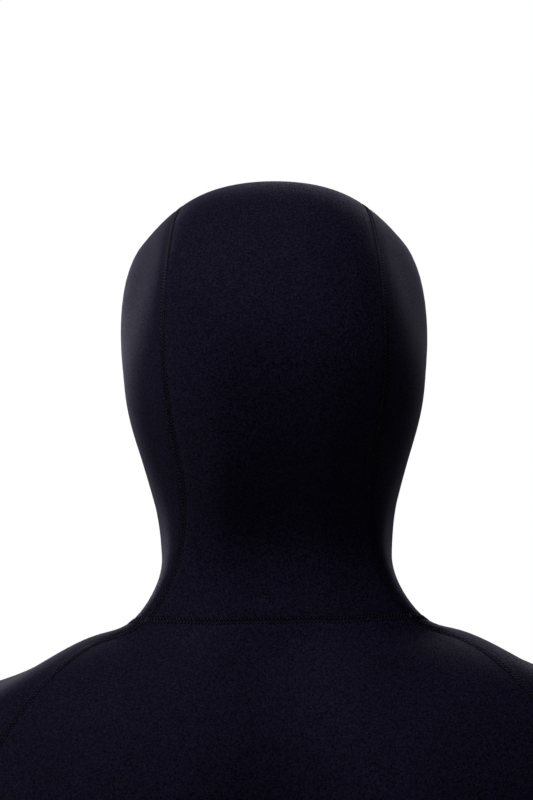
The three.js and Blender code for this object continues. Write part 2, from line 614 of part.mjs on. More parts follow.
// Seals: thin smooth-skin bands inside the openings.
const sealGap = 0.5;
function innerBand(name, faces, neoprene) {
  const outer = -neoprene - sealGap;
  add(name, shell(faces, outer, outer - sealNeoprene, 1, 1), materials.smoothSkin);
}
for (const side of ["left", "right"]) {
  innerBand(`${side}_wrist_seal`, facesOf(`${side}_wrist_cuff`), limbNeoprene);
  innerBand(`${side}_ankle_seal`, facesOf(`${side}_ankle_cuff`), trunkNeoprene);
}
const atFaceOpening = (i) => onRim[i] && skin.points[i].z > neckSeamZ;
innerBand("face_seal", skin.faces.filter((f) => f.corners.some(atFaceOpening)), trunkNeoprene);

// Knee pads lie on the front of the knee panels, within 60 degrees of straight ahead.
for (const side of ["left", "right"]) {
  const front = facesOf(`${side}_knee_panel`).filter((f) => {
    const centre = mean(f.corners.map((i) => skin.points[i]));
    const axis = centre.z > kneeZ ? alongThigh(centre.z) : alongShin(centre.z);
    const aside = Math.abs(Math.abs(centre.x) - axis.x);
    return axis.y - centre.y > aside * Math.tan(rad(30));
  });
  add(`${side}_knee_pad`, shell(front, seamGap + padThickness, seamGap, 4), materials.pad);
}

// ---- the zip -------------------------------------------------------------------------------------
// Its group's own axes: x across, y into the suit, z up the zip; its origin is the top of the slot's
// centre line.
const zip = new THREE.Group();
zip.position.set(0, zipTopY, zipTopZ);
zip.rotation.x = rad(-zipLean);
suit.add(zip);
const tapeDepth = trunkNeoprene + 2.4; // clear of the inner faces of the chest panels
const chainTop = tapeDepth - seamGap - chainHeight;

function block(width, depth, height, x, y, z) {
  return new THREE.BoxGeometry(width, depth, height).translate(x, y, z);
}
const stopHeight = 6;
const chainStart = -stopHeight - 1;
const chainEnd = 16 - zipLength;
for (const [side, sign] of [["left", 1], ["right", -1]]) {
  const tapeX = sign * (seamGap / 2 + tapeWidth / 2);
  const tapeY = tapeDepth + tapeThickness / 2;
  const tape = block(tapeWidth, tapeThickness, zipLength, tapeX, tapeY, -zipLength / 2);
  add(`zip_tape_${side}`, tape, materials.tape, zip);
  const chainX = sign * (seamGap / 2 + chainWidth / 2);
  const chainY = chainTop + chainHeight / 2;
  const chainZ = (chainStart + chainEnd) / 2;
  const chain = block(chainWidth, chainHeight, chainStart - chainEnd, chainX, chainY, chainZ);
  add(`zip_teeth_${side}`, chain, materials.teeth, zip);
}
const chainSpan = 2 * chainWidth + seamGap;
const stopOffset = seamGap + stopHeight / 2;
const stops = { zip_top_stop: chainStart + stopOffset, zip_bottom_stop: chainEnd - stopOffset };
for (const [name, z] of Object.entries(stops)) {
  const stop = block(chainSpan, chainHeight, stopHeight, 0, chainTop + chainHeight / 2, z);
  add(name, stop, materials.moulded, zip);
}

// Joins solids that overlap into one closed mesh.
const wasm = await Module();
wasm.setup();
function solid(geometry) {
  const bare = geometry.clone();
  for (const name of Object.keys(bare.attributes))
    if (name !== "position") bare.deleteAttribute(name);
  const merged = mergeVertices(bare, 1e-3);
  return new wasm.Manifold(new wasm.Mesh({
    numProp: 3,
    vertProperties: merged.attributes.position.array,
    triVerts: new Uint32Array(merged.index.array),
  }));
}
function geometryOf(manifold) {
  const mesh = manifold.getMesh();
  const positions = new Float32Array(mesh.numVert * 3);
  for (let i = 0; i < mesh.numVert; i++)
    positions.set(mesh.vertProperties.subarray(i * mesh.numProp, i * mesh.numProp + 3), i * 3);
  const geometry = new THREE.BufferGeometry();
  geometry.setAttribute("position", new THREE.BufferAttribute(positions, 3));
  geometry.setIndex(new THREE.BufferAttribute(mesh.triVerts, 1));
  geometry.computeVertexNormals();
  return geometry;
}

// The slider: a saddle over both rows of teeth, with a lug that holds the tab's pin.
const sliderWidth = chainSpan + 2 * (runningGap + sliderWall);
const sliderZ = -stopHeight - 2 - sliderLength / 2;
const sliderFloor = tapeDepth - runningGap; // just clear of the tape
const sliderTop = chainTop - runningGap - sliderWall;
const lugHeight = 6;
const lugLength = 6;
const pinY = sliderTop - lugHeight + 2.6;
const sliderBlank = new RoundedBoxGeometry(sliderWidth, sliderFloor - sliderTop, sliderLength, 1, 0.8)
  .translate(0, (sliderFloor + sliderTop) / 2, sliderZ);
const lug = new RoundedBoxGeometry(3.2, lugHeight + 1, lugLength, 1, 0.8)
  .translate(0, sliderTop - lugHeight / 2 + 0.5, sliderZ);
const channel = block(chainSpan + 2 * runningGap, chainHeight + 2 * runningGap, sliderLength + 2, 0,
  chainTop - runningGap + (chainHeight + 2 * runningGap) / 2, sliderZ);
const eyeRadius = tabPinRadius + runningGap;
const eye = new THREE.CylinderGeometry(eyeRadius, eyeRadius, 10, 16)
  .rotateZ(Math.PI / 2).translate(0, pinY, sliderZ);
const slider = solid(sliderBlank).add(solid(lug)).subtract(solid(channel)).subtract(solid(eye));
add("zip_slider", geometryOf(slider), materials.moulded, zip);

// The pull tab: a flat tab whose upper end is a fork that carries the pin through the lug's eye.
const forkGap = 3.2 + 2 * runningGap;
const forkReach = 5.5; // from the pin to the closed end of the fork
const tabBlank = new RoundedBoxGeometry(tabWidth, tabThickness, tabLength, 2, 0.8)
  .translate(0, pinY, sliderZ - tabLength / 2 + 2.5);
const forkSlot = block(forkGap, 6, 2 * forkReach, 0, pinY, sliderZ);
const gripHole = new THREE.CylinderGeometry(2.4, 2.4, 6, 16).translate(0, pinY, sliderZ - tabLength + 9);
const pin = new THREE.CylinderGeometry(tabPinRadius, tabPinRadius, tabWidth - 1, 12)
  .rotateZ(Math.PI / 2).translate(0, pinY, sliderZ);
const tab = solid(tabBlank).subtract(solid(forkSlot)).subtract(solid(gripHole)).add(solid(pin));
add("zip_pull_tab", geometryOf(tab), materials.moulded, zip);

// Behind the zip, a smooth neoprene flap keeps water off the chest.
const flapWidth = 46;
const flapThickness = 3;
const flapDepth = tapeDepth + tapeThickness + 2;
const flap = new RoundedBoxGeometry(flapWidth, flapThickness, zipLength + 4, 2, 1.4)
  .translate(0, flapDepth + flapThickness / 2, -zipLength / 2);
add("zip_underflap", flap, materials.smoothSkin, zip);

export default suit;
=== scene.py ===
"""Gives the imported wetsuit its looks: the neoprene panels as one smooth skin cut at its seams, stitching,
seals, knee pads, the front zip, materials, light and camera. Sizes are metres in the suit's own frame:
+Z up, +X to the wearer's left, the wearer faces -Y."""

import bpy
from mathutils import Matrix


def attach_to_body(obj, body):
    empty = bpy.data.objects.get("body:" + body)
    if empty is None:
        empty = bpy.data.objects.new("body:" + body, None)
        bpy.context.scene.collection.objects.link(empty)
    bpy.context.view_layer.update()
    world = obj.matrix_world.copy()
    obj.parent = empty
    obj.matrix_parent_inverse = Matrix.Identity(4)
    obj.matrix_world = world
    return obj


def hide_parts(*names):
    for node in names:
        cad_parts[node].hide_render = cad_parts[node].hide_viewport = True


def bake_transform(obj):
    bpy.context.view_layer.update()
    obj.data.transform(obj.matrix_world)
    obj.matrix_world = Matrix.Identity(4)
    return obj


bl_info = {
    "name": "Hooded wetsuit",
    "version": (1, 0, 0),
    "blender": (4, 5, 0),
    "location": "3D View > Sidebar > Wetsuit",
    "description": "Builds the panels, stitching, seals and zip of a hooded wetsuit on its packed frame",
    "category": "Object",
}

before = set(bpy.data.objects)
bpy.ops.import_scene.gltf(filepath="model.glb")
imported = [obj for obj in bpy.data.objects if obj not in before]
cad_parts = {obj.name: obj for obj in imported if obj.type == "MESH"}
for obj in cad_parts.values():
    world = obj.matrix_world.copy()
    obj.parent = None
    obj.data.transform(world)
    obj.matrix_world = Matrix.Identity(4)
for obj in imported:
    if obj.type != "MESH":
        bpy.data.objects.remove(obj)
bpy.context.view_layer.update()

import math

import bmesh
import bpy
import numpy as np
from bpy.props import FloatProperty, FloatVectorProperty, PointerProperty
from mathutils import Vector, noise
from mathutils.bvhtree import BVHTree
from mathutils.kdtree import KDTree

# ---- what each piece is made of and how it moves -------------------------------------------------
SIDES = ("left", "right")
TRUNK_NEOPRENE = 0.005
LIMB_NEOPRENE = 0.004

# Each visible panel: the CAD nodes it stands for, its thickness, and the body it rides on or the bend it
# lies at.
PANELS = {
    "hood_centre": (("hood_centre_panel", "neck_back_section"), TRUNK_NEOPRENE, "neck"),
    "hood_face": (("hood_face_panel",), TRUNK_NEOPRENE, "neck"),
    "back": (("back_panel",), TRUNK_NEOPRENE, "trunk"),
    "lumbar": (("lumbar_panel",), TRUNK_NEOPRENE, "trunk"),
    "seat": (("seat_panel",), TRUNK_NEOPRENE, "trunk"),
    "abdomen": (("abdomen_panel",), TRUNK_NEOPRENE, "trunk"),
    "gusset": (("crotch_gusset",), TRUNK_NEOPRENE, "trunk"),
}
for side in SIDES:
    PANELS.update({
        f"hood_{side}": ((f"hood_{side}_panel", f"neck_{side}_section"), TRUNK_NEOPRENE, "neck"),
        f"chest_{side}": ((f"chest_{side}_panel",), TRUNK_NEOPRENE, "trunk"),
        f"{side}_flank": ((f"{side}_side_panel",), TRUNK_NEOPRENE, "trunk"),
        f"{side}_raglan": ((f"{side}_raglan_panel",), LIMB_NEOPRENE, f"{side}_shoulder"),
        f"{side}_underarm": ((f"{side}_underarm_panel",), LIMB_NEOPRENE, f"{side}_shoulder"),
        f"{side}_sleeve": ((f"{side}_upper_sleeve",), LIMB_NEOPRENE, f"{side}_upper_arm"),
        f"{side}_elbow": ((f"{side}_elbow_panel",), LIMB_NEOPRENE, f"{side}_elbow"),
        f"{side}_forearm_sleeve": ((f"{side}_forearm_panel",), LIMB_NEOPRENE, f"{side}_forearm"),
        f"{side}_cuff": ((f"{side}_wrist_cuff",), LIMB_NEOPRENE, f"{side}_forearm"),
        f"{side}_thigh_front": ((f"{side}_front_thigh_panel",), TRUNK_NEOPRENE, f"{side}_hip"),
        f"{side}_thigh_rear": ((f"{side}_rear_thigh_panel",), TRUNK_NEOPRENE, f"{side}_hip"),
        f"{side}_thigh_band": ((f"{side}_thigh_panel",), TRUNK_NEOPRENE, f"{side}_thigh"),
        f"{side}_knee_section": ((f"{side}_knee_panel",), TRUNK_NEOPRENE, f"{side}_knee"),
        f"{side}_shin_front": ((f"{side}_shin_panel",), TRUNK_NEOPRENE, f"{side}_shin"),
        f"{side}_calf": ((f"{side}_calf_panel",), TRUNK_NEOPRENE, f"{side}_shin"),
        f"{side}_ankle": ((f"{side}_ankle_cuff",), TRUNK_NEOPRENE, f"{side}_shin"),
    })

# Each bend: the two bodies it joins, and the direction in which a panel passes from the first to the
# second.
BENDS = {"neck": ("trunk", "hood", (0, -0.44, 0.9))}
for side, mirror in zip(SIDES, (1, -1)):
    BENDS[f"{side}_shoulder"] = ("trunk", f"{side}_upper_arm", (mirror * 0.9, 0, -0.43))
    BENDS[f"{side}_elbow"] = (f"{side}_upper_arm", f"{side}_forearm", (mirror * 0.22, -0.13, -0.967))
    BENDS[f"{side}_hip"] = ("trunk", f"{side}_thigh", (mirror * 0.56, 0, -0.83))
    BENDS[f"{side}_knee"] = (f"{side}_thigh", f"{side}_shin", (mirror * 0.044, 0.045, -0.998))
HOOD_BEND_LENGTH = 0.043

# Middle lines of the suit, from which its outside is told from its inside.
MIDDLES = [((0, -0.01, 0.24), (0, -0.01, 0.08)), ((0, 0, 0.02), (0, 0, -0.5))]
for mirror in (1, -1):
    shoulder = (mirror * 0.189, 0.005, -0.025)
    elbow = (mirror * 0.2705, 0.005, -0.329)
    wrist = (mirror * 0.313, -0.059, -0.576)
    hip = (mirror * 0.092, 0.005, -0.6)
    knee = (mirror * 0.11, -0.002, -0.953)
    ankle = (mirror * 0.128, 0.038, -1.365)
    MIDDLES += [(shoulder, elbow), (elbow, wrist), (hip, knee), (knee, ankle)]

# Farther than any point of the suit.
FAR = 9.0

# Reading the CAD's panels: points nearer than SAME_POINT are one, a fold sharper than SHEET_FOLD
# divides a panel's outside from its walls, panel edges nearer than SEAM_WELD are two sides of one seam,
# and the smooth skin is fitted to the points in FITTING_ROUNDS.
SAME_POINT = 1e-6
SHEET_FOLD = math.radians(52)
SEAM_WELD = 0.0012
ANY_ANGLE = 3.1
FITTING_ROUNDS = 8

# Seams: how far two panels stand apart, how much of the groove is in the skin itself, the two steps
# from the seam to level skin, and how deep the first step lies. The inside stops short of the CAD's by
# INSIDE_CLEARANCE.
SEAM_PARTING = 0.00001
SKIN_DIP = 0.7
GROOVE_STEPS = (0.3, 0.7)
GROOVE_SHOULDER = 0.45
INSIDE_CLEARANCE = 0.0006


# ---- sizes and colours ---------------------------------------------------------------------------
class WetsuitSizes(bpy.types.PropertyGroup):
    """Sizes of the suit's surface detail."""

    groove: FloatProperty(
        name="Seam groove", description="How far a panel dips at a seam", default=0.00042, unit="LENGTH")
    groove_width: FloatProperty(
        name="Groove width", description="From the seam to level skin", default=0.0018, unit="LENGTH")
    stitch_pitch: FloatProperty(
        name="Stitch pitch", description="Length of one zigzag", default=0.0020, unit="LENGTH")
    stitch_width: FloatProperty(
        name="Stitch width", description="Across the zigzag", default=0.0030, unit="LENGTH")
    thread: FloatProperty(
        name="Thread radius", description="Half the thread's thickness", default=0.00018, unit="LENGTH")
    puncture: FloatProperty(
        name="Needle hole radius", description="Dimple at each turn of the thread", default=0.00048,
        unit="LENGTH")
    crease: FloatProperty(
        name="Crease depth", description="Depth of the deepest soft creases", default=0.0028, unit="LENGTH")
    tooth_pitch: FloatProperty(
        name="Tooth pitch", description="From one zip tooth to the next on its side", default=0.0029,
        unit="LENGTH")


class WetsuitColours(bpy.types.PropertyGroup):
    """Colours of the suit's materials."""

    jersey: FloatVectorProperty(
        name="Jersey", description="Nylon jersey on the neoprene", subtype="COLOR", size=3,
        default=(0.0046, 0.0036, 0.0092))
    # Lighter than the black thread really is: partly painted sheen.
    thread: FloatVectorProperty(
        name="Thread", description="Stitching thread", subtype="COLOR", size=3,
        default=(0.02, 0.0185, 0.026))
    smooth_skin: FloatVectorProperty(
        name="Smooth skin", description="Seals and underflap", subtype="COLOR", size=3,
        default=(0.006, 0.006, 0.007))
    pad: FloatVectorProperty(
        name="Knee pads", description="Rubber print on the knees", subtype="COLOR", size=3,
        default=(0.012, 0.012, 0.014))
    zip: FloatVectorProperty(
        name="Zip", description="Teeth, stops, slider and tab", subtype="COLOR", size=3,
        default=(0.01, 0.01, 0.012))


# ---- meshes --------------------------------------------------------------------------------------
def new_object(name, verts, faces, smooth=True):
    """A mesh object at the origin, linked to the scene."""
    mesh = bpy.data.meshes.new(name)
    mesh.from_pydata([tuple(v) for v in verts], [], [tuple(f) for f in faces])
    if smooth:
        mesh.shade_smooth()
    obj = bpy.data.objects.new(name, mesh)
    bpy.context.scene.collection.objects.link(obj)
    return obj


def select_only(obj):
    bpy.ops.object.select_all(action="DESELECT")
    obj.select_set(True)
    bpy.context.view_layer.objects.active = obj


def apply_modifiers(obj):
    select_only(obj)
    for modifier in list(obj.modifiers):
        bpy.ops.object.modifier_apply(modifier=modifier.name)


def middle_distance(p):
    """Distance from the nearest middle line."""
    best = FAR
    for a, b in MIDDLES:
        a, b = Vector(a), Vector(b)
        t = max(0.0, min(1.0, (p - a).dot(b - a) / (b - a).length_squared))
        best = min(best, (p - a.lerp(b, t)).length)
    return best


def outer_sheet(node):
    """The outside of a CAD panel as a bmesh of quads: the panel is cut at its sharp edges into an outer and
    an inner sheet and the walls between them."""
    bm = bmesh.new()
    bm.from_mesh(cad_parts[node].data)
    bmesh.ops.remove_doubles(bm, verts=bm.verts, dist=SAME_POINT)
    sheet_of = {}
    sheets = []
    for seed in bm.faces:
        if seed in sheet_of:
            continue
        sheets.append([])
        sheet_of[seed] = len(sheets) - 1
        stack = [seed]
        while stack:
            face = stack.pop()
            sheets[-1].append(face)
            for edge in face.edges:
                if len(edge.link_faces) != 2 or edge.calc_face_angle(0) > SHEET_FOLD:
                    continue
                for other in edge.link_faces:
                    if other not in sheet_of:
                        sheet_of[other] = len(sheets) - 1
                        stack.append(other)
    sheets.sort(key=lambda faces: -sum(f.calc_area() for f in faces))

    def reach(faces):
        area = sum(f.calc_area() for f in faces)
        return sum(f.calc_area() * middle_distance(f.calc_center_median()) for f in faces) / area

    outer = max(sheets[:2], key=reach)
    keep = set(outer)
    bmesh.ops.delete(bm, geom=[f for f in bm.faces if f not in keep], context="FACES")
    bmesh.ops.join_triangles(
        bm, faces=bm.faces[:], angle_face_threshold=ANY_ANGLE, angle_shape_threshold=ANY_ANGLE)
    return bm


# Soft creases: each fades out from its centre to CREASE_REACH times its radius, and its waves run
# WAVES_ALONG and WAVES_ACROSS to the metre. A gentle unevenness with waves of its own goes over the
# whole skin.
CREASE_REACH = 1.6
CREASE_FADE = 2.2
WAVES_ALONG = 14
WAVES_ACROSS = 62
GENTLE_WAVES = 11
GENTLE_SHARE = 0.16
CREASES = [  # centre, radius, share of the full depth, and the direction across the creases
    ((0, 0.075, 0.1), 0.05, 0.22, (0, 0, 1)),
    ((0, -0.075, 0.04), 0.06, 0.7, (0, 0, 1)),
    ((0, 0.085, -0.33), 0.13, 0.7, (0, 0, 1)),
    ((0, -0.1, -0.56), 0.12, 0.6, (0, 0, 1)),
]
for mirror in (1, -1):
    CREASES += [
        ((mirror * 0.165, 0.0, -0.1), 0.09, 1.0, (mirror * 0.6, 0, -0.8)),
        ((mirror * 0.27, -0.04, -0.325), 0.06, 1.0, (0.2, -0.1, 1)),
        ((mirror * 0.31, -0.05, -0.52), 0.05, 0.5, (0.2, -0.2, 1)),
        ((mirror * 0.11, 0.06, -0.945), 0.085, 1.0, (0, 0, 1)),
        ((mirror * 0.126, 0.03, -1.3), 0.07, 0.8, (0, 0, 1)),
        ((mirror * 0.08, -0.02, -0.66), 0.09, 0.8, (mirror * 0.3, 0, 1)),
    ]


def crease_depth(p, full):
    """How far the skin sinks or rises at p: soft creases across the limbs where the suit bends."""
    depth = 0.0
    for centre, radius, share, across in CREASES:
        centre, across = Vector(centre), Vector(across).normalized()
        away = (p - centre).length / radius
        if away >= CREASE_REACH:
            continue
        mask = math.exp(-CREASE_FADE * away * away)
        along = p - across * p.dot(across)
        sample = along * WAVES_ALONG + across * (p.dot(across) * WAVES_ACROSS)
        depth += full * share * mask * noise.noise(sample, noise_basis="PERLIN_ORIGINAL")
    gentle = noise.noise(p * GENTLE_WAVES, noise_basis="PERLIN_ORIGINAL")
    return depth + GENTLE_SHARE * full * gentle


# The top of the hood: heights between which the even dome takes over, how far out it reaches, the
# length that its formula is written in, and the farthest that a point is moved.
CROWN_LOW = 0.272
CROWN_HIGH = 0.294
CROWN_REACH = 0.075
CROWN_UNIT = 0.07
CROWN_SHIFT = 0.0025


def smooth_crown(co):
    """Draws the top of the hood towards one even dome fitted through it."""
    top = (co[:, 2] > CROWN_LOW) & (np.abs(co[:, 0]) < CROWN_REACH)
    x = co[top, 0] / CROWN_UNIT
    y = co[top, 1] / CROWN_UNIT
    powers = [(0, j) for j in range(5)] + [(i, j) for i in (2, 4) for j in range(3)]
    terms = np.stack([x ** i * y ** j for i, j in powers], axis=1)
    fitted = terms @ np.linalg.lstsq(terms, co[top, 2], rcond=None)[0]
    share = np.clip((co[top, 2] - CROWN_LOW) / (CROWN_HIGH - CROWN_LOW), 0, 1)
    share = share * share * (3 - 2 * share)
    co = co.copy()
    co[top, 2] += share * np.clip(fitted - co[top, 2], -CROWN_SHIFT, CROWN_SHIFT)
    return co


skin_store = {}


def skin():
    """The whole outside as one smooth surface: points, normals, quads, and each quad's panel."""
    if skin_store:
        return skin_store
    names = sorted(PANELS)
    merged = bmesh.new()
    for number, name in enumerate(names):
        for node in PANELS[name][0]:
            sheet = outer_sheet(node)
            for face in sheet.faces:
                face.material_index = number
            part = bpy.data.meshes.new("sheet")
            sheet.to_mesh(part)
            sheet.free()
            merged.from_mesh(part)
            bpy.data.meshes.remove(part)
    edge_points = [v for v in merged.verts if v.is_boundary]
    bmesh.ops.remove_doubles(merged, verts=edge_points, dist=SEAM_WELD)
    mesh = bpy.data.meshes.new("skin_cage")
    merged.to_mesh(mesh)
    merged.free()
    cage = bpy.data.objects.new("skin_cage", mesh)
    bpy.context.scene.collection.objects.link(cage)
    smoother = cage.modifiers.new("smooth", "SUBSURF")
    smoother.use_limit_surface = True

    def surface(levels):
        smoother.levels = smoother.render_levels = levels
        cage.data.update()
        bpy.context.view_layer.update()
        return cage.evaluated_get(bpy.context.evaluated_depsgraph_get()).to_mesh()

    def points(of):
        flat = np.empty(len(of.vertices) * 3)
        of.vertices.foreach_get("co", flat)
        return flat.reshape(-1, 3)

    # The cage is moved until the smooth surface passes through the CAD's points.
    target = points(mesh)
    count = len(target)
    for _ in range(FITTING_ROUNDS):
        reached = points(surface(1))[:count]
        moved = points(mesh) + target - reached
        mesh.vertices.foreach_set("co", moved.ravel())
    fine = surface(2)
    co = points(fine)
    normals = np.array([v.vector for v in fine.vertex_normals])
    quads = [tuple(p.vertices) for p in fine.polygons]
    panel = np.array([p.material_index for p in fine.polygons])
    co = smooth_crown(co)
    sizes = bpy.context.scene.wetsuit_sizes
    sink = np.array([crease_depth(Vector(p), sizes.crease) for p in co])
    rim = np.zeros(len(co), bool)
    at_edge = {}
    for number, face in enumerate(quads):
        for a, b in zip(face, face[1:] + face[:1]):
            at_edge.setdefault(frozenset((a, b)), []).append(number)
    for edge, beside in at_edge.items():
        if len(beside) == 1:
            rim[list(edge)] = True
    sink[rim] = 0
    for edge, beside in at_edge.items():
        if len({panel[f] for f in beside}) > 1:
            sink[list(edge)] = -sizes.groove * SKIN_DIP
    co = co + normals * sink[:, None]
    bpy.data.objects.remove(cage)
    skin_store.update(co=co, normals=normals, quads=quads, panel=panel, names=names, rim=rim)
    tree = KDTree(len(co))
    for i, p in enumerate(co):
        tree.insert(p, i)
    tree.balance()
    skin_store["tree"] = tree
    skin_store["surface"] = BVHTree.FromPolygons([tuple(p) for p in co], quads)
    return skin_store


def bend_planes():
    """For each bend, where along its direction the panels start and end their turn: between the seams that
    hold them to the two bodies, or over HOOD_BEND_LENGTH at the neck."""
    if "planes" in skin_store:
        return skin_store["planes"]
    s = skin()
    owners = {}
    for face, number in zip(s["quads"], s["panel"]):
        for i in face:
            owners.setdefault(i, set()).add(s["names"][number])
    moves = {name: PANELS[name][2] for name in PANELS}
    planes = {}
    for bend, (first, second, direction) in BENDS.items():
        way = np.array(direction) / np.linalg.norm(direction)
        start, end = -FAR, FAR
        for i, names in owners.items():
            kinds = {moves[n] for n in names}
            if bend not in kinds or len(kinds) == 1:
                continue
            height = float(s["co"][i] @ way)
            if second in kinds:
                end = min(end, height)
            else:
                start = max(start, height)
        if bend == "neck":
            end = start + HOOD_BEND_LENGTH
        planes[bend] = (tuple(way * start), tuple(way * end))
    skin_store["planes"] = planes
    return planes


def attach(obj, movement):
    """Rides on a body; a piece at a bend stays where it is, its place baked into its points."""
    if movement in BENDS:
        start, end = bend_planes()[movement]
        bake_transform(obj)
    else:
        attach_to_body(obj, movement)


def faces_mesh(faces, name):
    """Some of the skin's quads as a mesh object of their own."""
    s = skin()
    used = sorted({i for f in faces for i in f})
    place = {i: n for n, i in enumerate(used)}
    return new_object(name, s["co"][used], [tuple(place[i] for i in f) for f in faces])


def inset(bm, faces, thickness):
    return bmesh.ops.inset_region(
        bm, faces=faces, use_boundary=True, use_even_offset=True, thickness=thickness)["faces"]


def sink_edges(obj, depth, width):
    """Draws the sheet's edges in by SEAM_PARTING, and rounds them down into a groove."""
    s = skin()
    bm = bmesh.new()
    bm.from_mesh(obj.data)
    bmesh.ops.delete(bm, geom=inset(bm, bm.faces[:], SEAM_PARTING), context="FACES")
    inset(bm, bm.faces[:], GROOVE_STEPS[0] * width)
    inner = {v for v in bm.verts
             if not v.is_boundary and any(e.other_vert(v).is_boundary for e in v.link_edges)}
    core = [f for f in bm.faces if not any(v.is_boundary for v in f.verts)]
    inset(bm, core, GROOVE_STEPS[1] * width)
    edge = [v for v in bm.verts if v.is_boundary]
    for verts, share in ((edge, 1.0), (inner, GROOVE_SHOULDER)):
        for v in verts:
            if v.is_valid:
                nearest = s["tree"].find(v.co)[1]
                v.co -= Vector(s["normals"][nearest]) * depth * share
    bm.to_mesh(obj.data)
    bm.free()


def border_distance(obj, border):
    """Stores each vertex's distance from the piece's edge, for the material's painted shade beside the
    seams.
    """
    tree = KDTree(len(border))
    for i, p in enumerate(border):
        tree.insert(p, i)
    tree.balance()
    attribute = obj.data.attributes.new("edge_distance", "FLOAT", "POINT")
    distances = [tree.find(v.co)[2] for v in obj.data.vertices]
    attribute.data.foreach_set("value", np.array(distances, np.float32))


def border_points(obj, step=0.0012):
    """Points along the edges of an open sheet, no more than step apart."""
    uses = {}
    for face in obj.data.polygons:
        for key in face.edge_keys:
            uses[key] = uses.get(key, 0) + 1
    points = []
    for (a, b), count in uses.items():
        if count == 1:
            a, b = obj.data.vertices[a].co, obj.data.vertices[b].co
            parts = max(1, math.ceil((b - a).length / step))
            points += [a.lerp(b, k / parts) for k in range(parts)]
    return points


def make_panel(name):
    """One neoprene panel: its share of the skin, grooved at the seams and given its thickness."""
    s = skin()
    sizes = bpy.context.scene.wetsuit_sizes
    nodes, thickness, movement = PANELS[name]
    number = s["names"].index(name)
    faces = [f for f, n in zip(s["quads"], s["panel"]) if n == number]
    obj = faces_mesh(faces, name)
    sink_edges(obj, sizes.groove, sizes.groove_width)
    border = border_points(obj)
    wall = obj.modifiers.new("wall", "SOLIDIFY")
    wall.thickness = thickness - INSIDE_CLEARANCE
    wall.offset = -1
    apply_modifiers(obj)
    border_distance(obj, border)
    bpy.ops.object.shade_smooth_by_angle(angle=math.radians(55))
    obj.data.materials.clear()
    obj.data.materials.append(jersey_material())
    attach(obj, movement)
    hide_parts(*nodes)


# ---- stitching -----------------------------------------------------------------------------------
# The thread lies THREAD_LIFT above the skin. A needle hole is an oval HOLE_SHARE as long as it is wide,
# with its edge and its bottom under the thread's level. A running stitch is given as shares of its
# pitch and heights.
THREAD_LIFT = 0.00006
HOLE_SIDES = 6
HOLE_SHARE = 0.8
HOLE_EDGE = 0.0001
HOLE_DEPTH = 0.0004
RUNNING_STITCH = ((0.0, -0.0003), (0.15, 0.0001), (0.5, 0.00022), (0.72, 0.0001), (0.86, -0.0003))
RUNNING_THREAD = 1.3


def seam_chains():
    """The skin's seams as chains of vertices, listed by the piece that carries their stitching."""
    s = skin()
    sides = {}
    for face, number in zip(s["quads"], s["panel"]):
        for a, b in zip(face, face[1:] + face[:1]):
            sides.setdefault((min(a, b), max(a, b)), []).append(int(number))
    pairs = {}
    for edge, numbers in sides.items():
        if len(numbers) == 2 and numbers[0] != numbers[1]:
            pairs.setdefault(tuple(sorted(numbers)), []).append(edge)
    carried = {}
    for (first, second), edges in sorted(pairs.items()):
        names = [s["names"][first], s["names"][second]]
        rigid = [n for n in names if PANELS[n][2] not in BENDS]
        owner = (rigid or names)[0]
        carried.setdefault(owner, []).extend(chains_of(edges))
    return carried


def chains_of(edges):
    """Joins edges end to end, into chains that stop where seams meet."""
    links = {}
    for a, b in edges:
        links.setdefault(a, []).append(b)
        links.setdefault(b, []).append(a)
    chains = []
    unused = {frozenset(e) for e in edges}
    starts = sorted(v for v, ends in links.items() if len(ends) != 2) + sorted(links)
    for start in starts:
        while True:
            onward = [v for v in links[start] if frozenset((start, v)) in unused]
            if not onward:
                break
            chain = [start, onward[0]]
            unused.discard(frozenset(chain))
            while True:
                nexts = [v for v in links[chain[-1]] if frozenset((chain[-1], v)) in unused]
                if not nexts or len(links[chain[-1]]) != 2:
                    break
                unused.discard(frozenset((chain[-1], nexts[0])))
                chain.append(nexts[0])
            chains.append(chain)
    return chains


def zigzag(chain, sizes):
    """The path of a zigzag thread over one seam."""
    s = skin()
    line = s["co"][chain]
    steps = np.linalg.norm(np.diff(line, axis=0), axis=1)
    along = np.concatenate([[0], np.cumsum(steps)])
    count = max(2, int(round(along[-1] / (sizes.stitch_pitch / 2))))
    path = []
    for k in range(count + 1):
        at = along[-1] * k / count
        i = min(int(np.searchsorted(along, at, side="right")) - 1, len(chain) - 2)
        t = (at - along[i]) / max(steps[i], 1e-9)
        point = line[i] * (1 - t) + line[i + 1] * t
        normal = s["normals"][chain[i]] * (1 - t) + s["normals"][chain[i + 1]] * t
        normal /= np.linalg.norm(normal)
        way = line[i + 1] - line[i]
        across = np.cross(normal, way)
        across /= np.linalg.norm(across)
        swing = sizes.stitch_width / 2 * (1 if k % 2 else -1)
        lies, facing, _, _ = s["surface"].find_nearest(Vector(point + across * swing))
        path.append((np.array(lies + facing * THREAD_LIFT), np.array(facing)))
    return path


def sweep(path, radius):
    """A four-sided tube along a path of (point, normal)."""
    verts, faces = [], []
    for k, (point, normal) in enumerate(path):
        before, after = path[max(k - 1, 0)][0], path[min(k + 1, len(path) - 1)][0]
        way = after - before
        way /= np.linalg.norm(way)
        across = np.cross(way, normal)
        across /= np.linalg.norm(across)
        up = np.cross(across, way)
        verts += [point + way * radius for way in (across, up, -across, -up)]
        if k:
            here, onward = 4 * (k - 1), 4 * k
            faces += [(here + j, here + (j + 1) % 4, onward + (j + 1) % 4, onward + j) for j in range(4)]
    last = 4 * (len(path) - 1)
    faces += [(3, 2, 1, 0), (last, last + 1, last + 2, last + 3)]
    return verts, faces


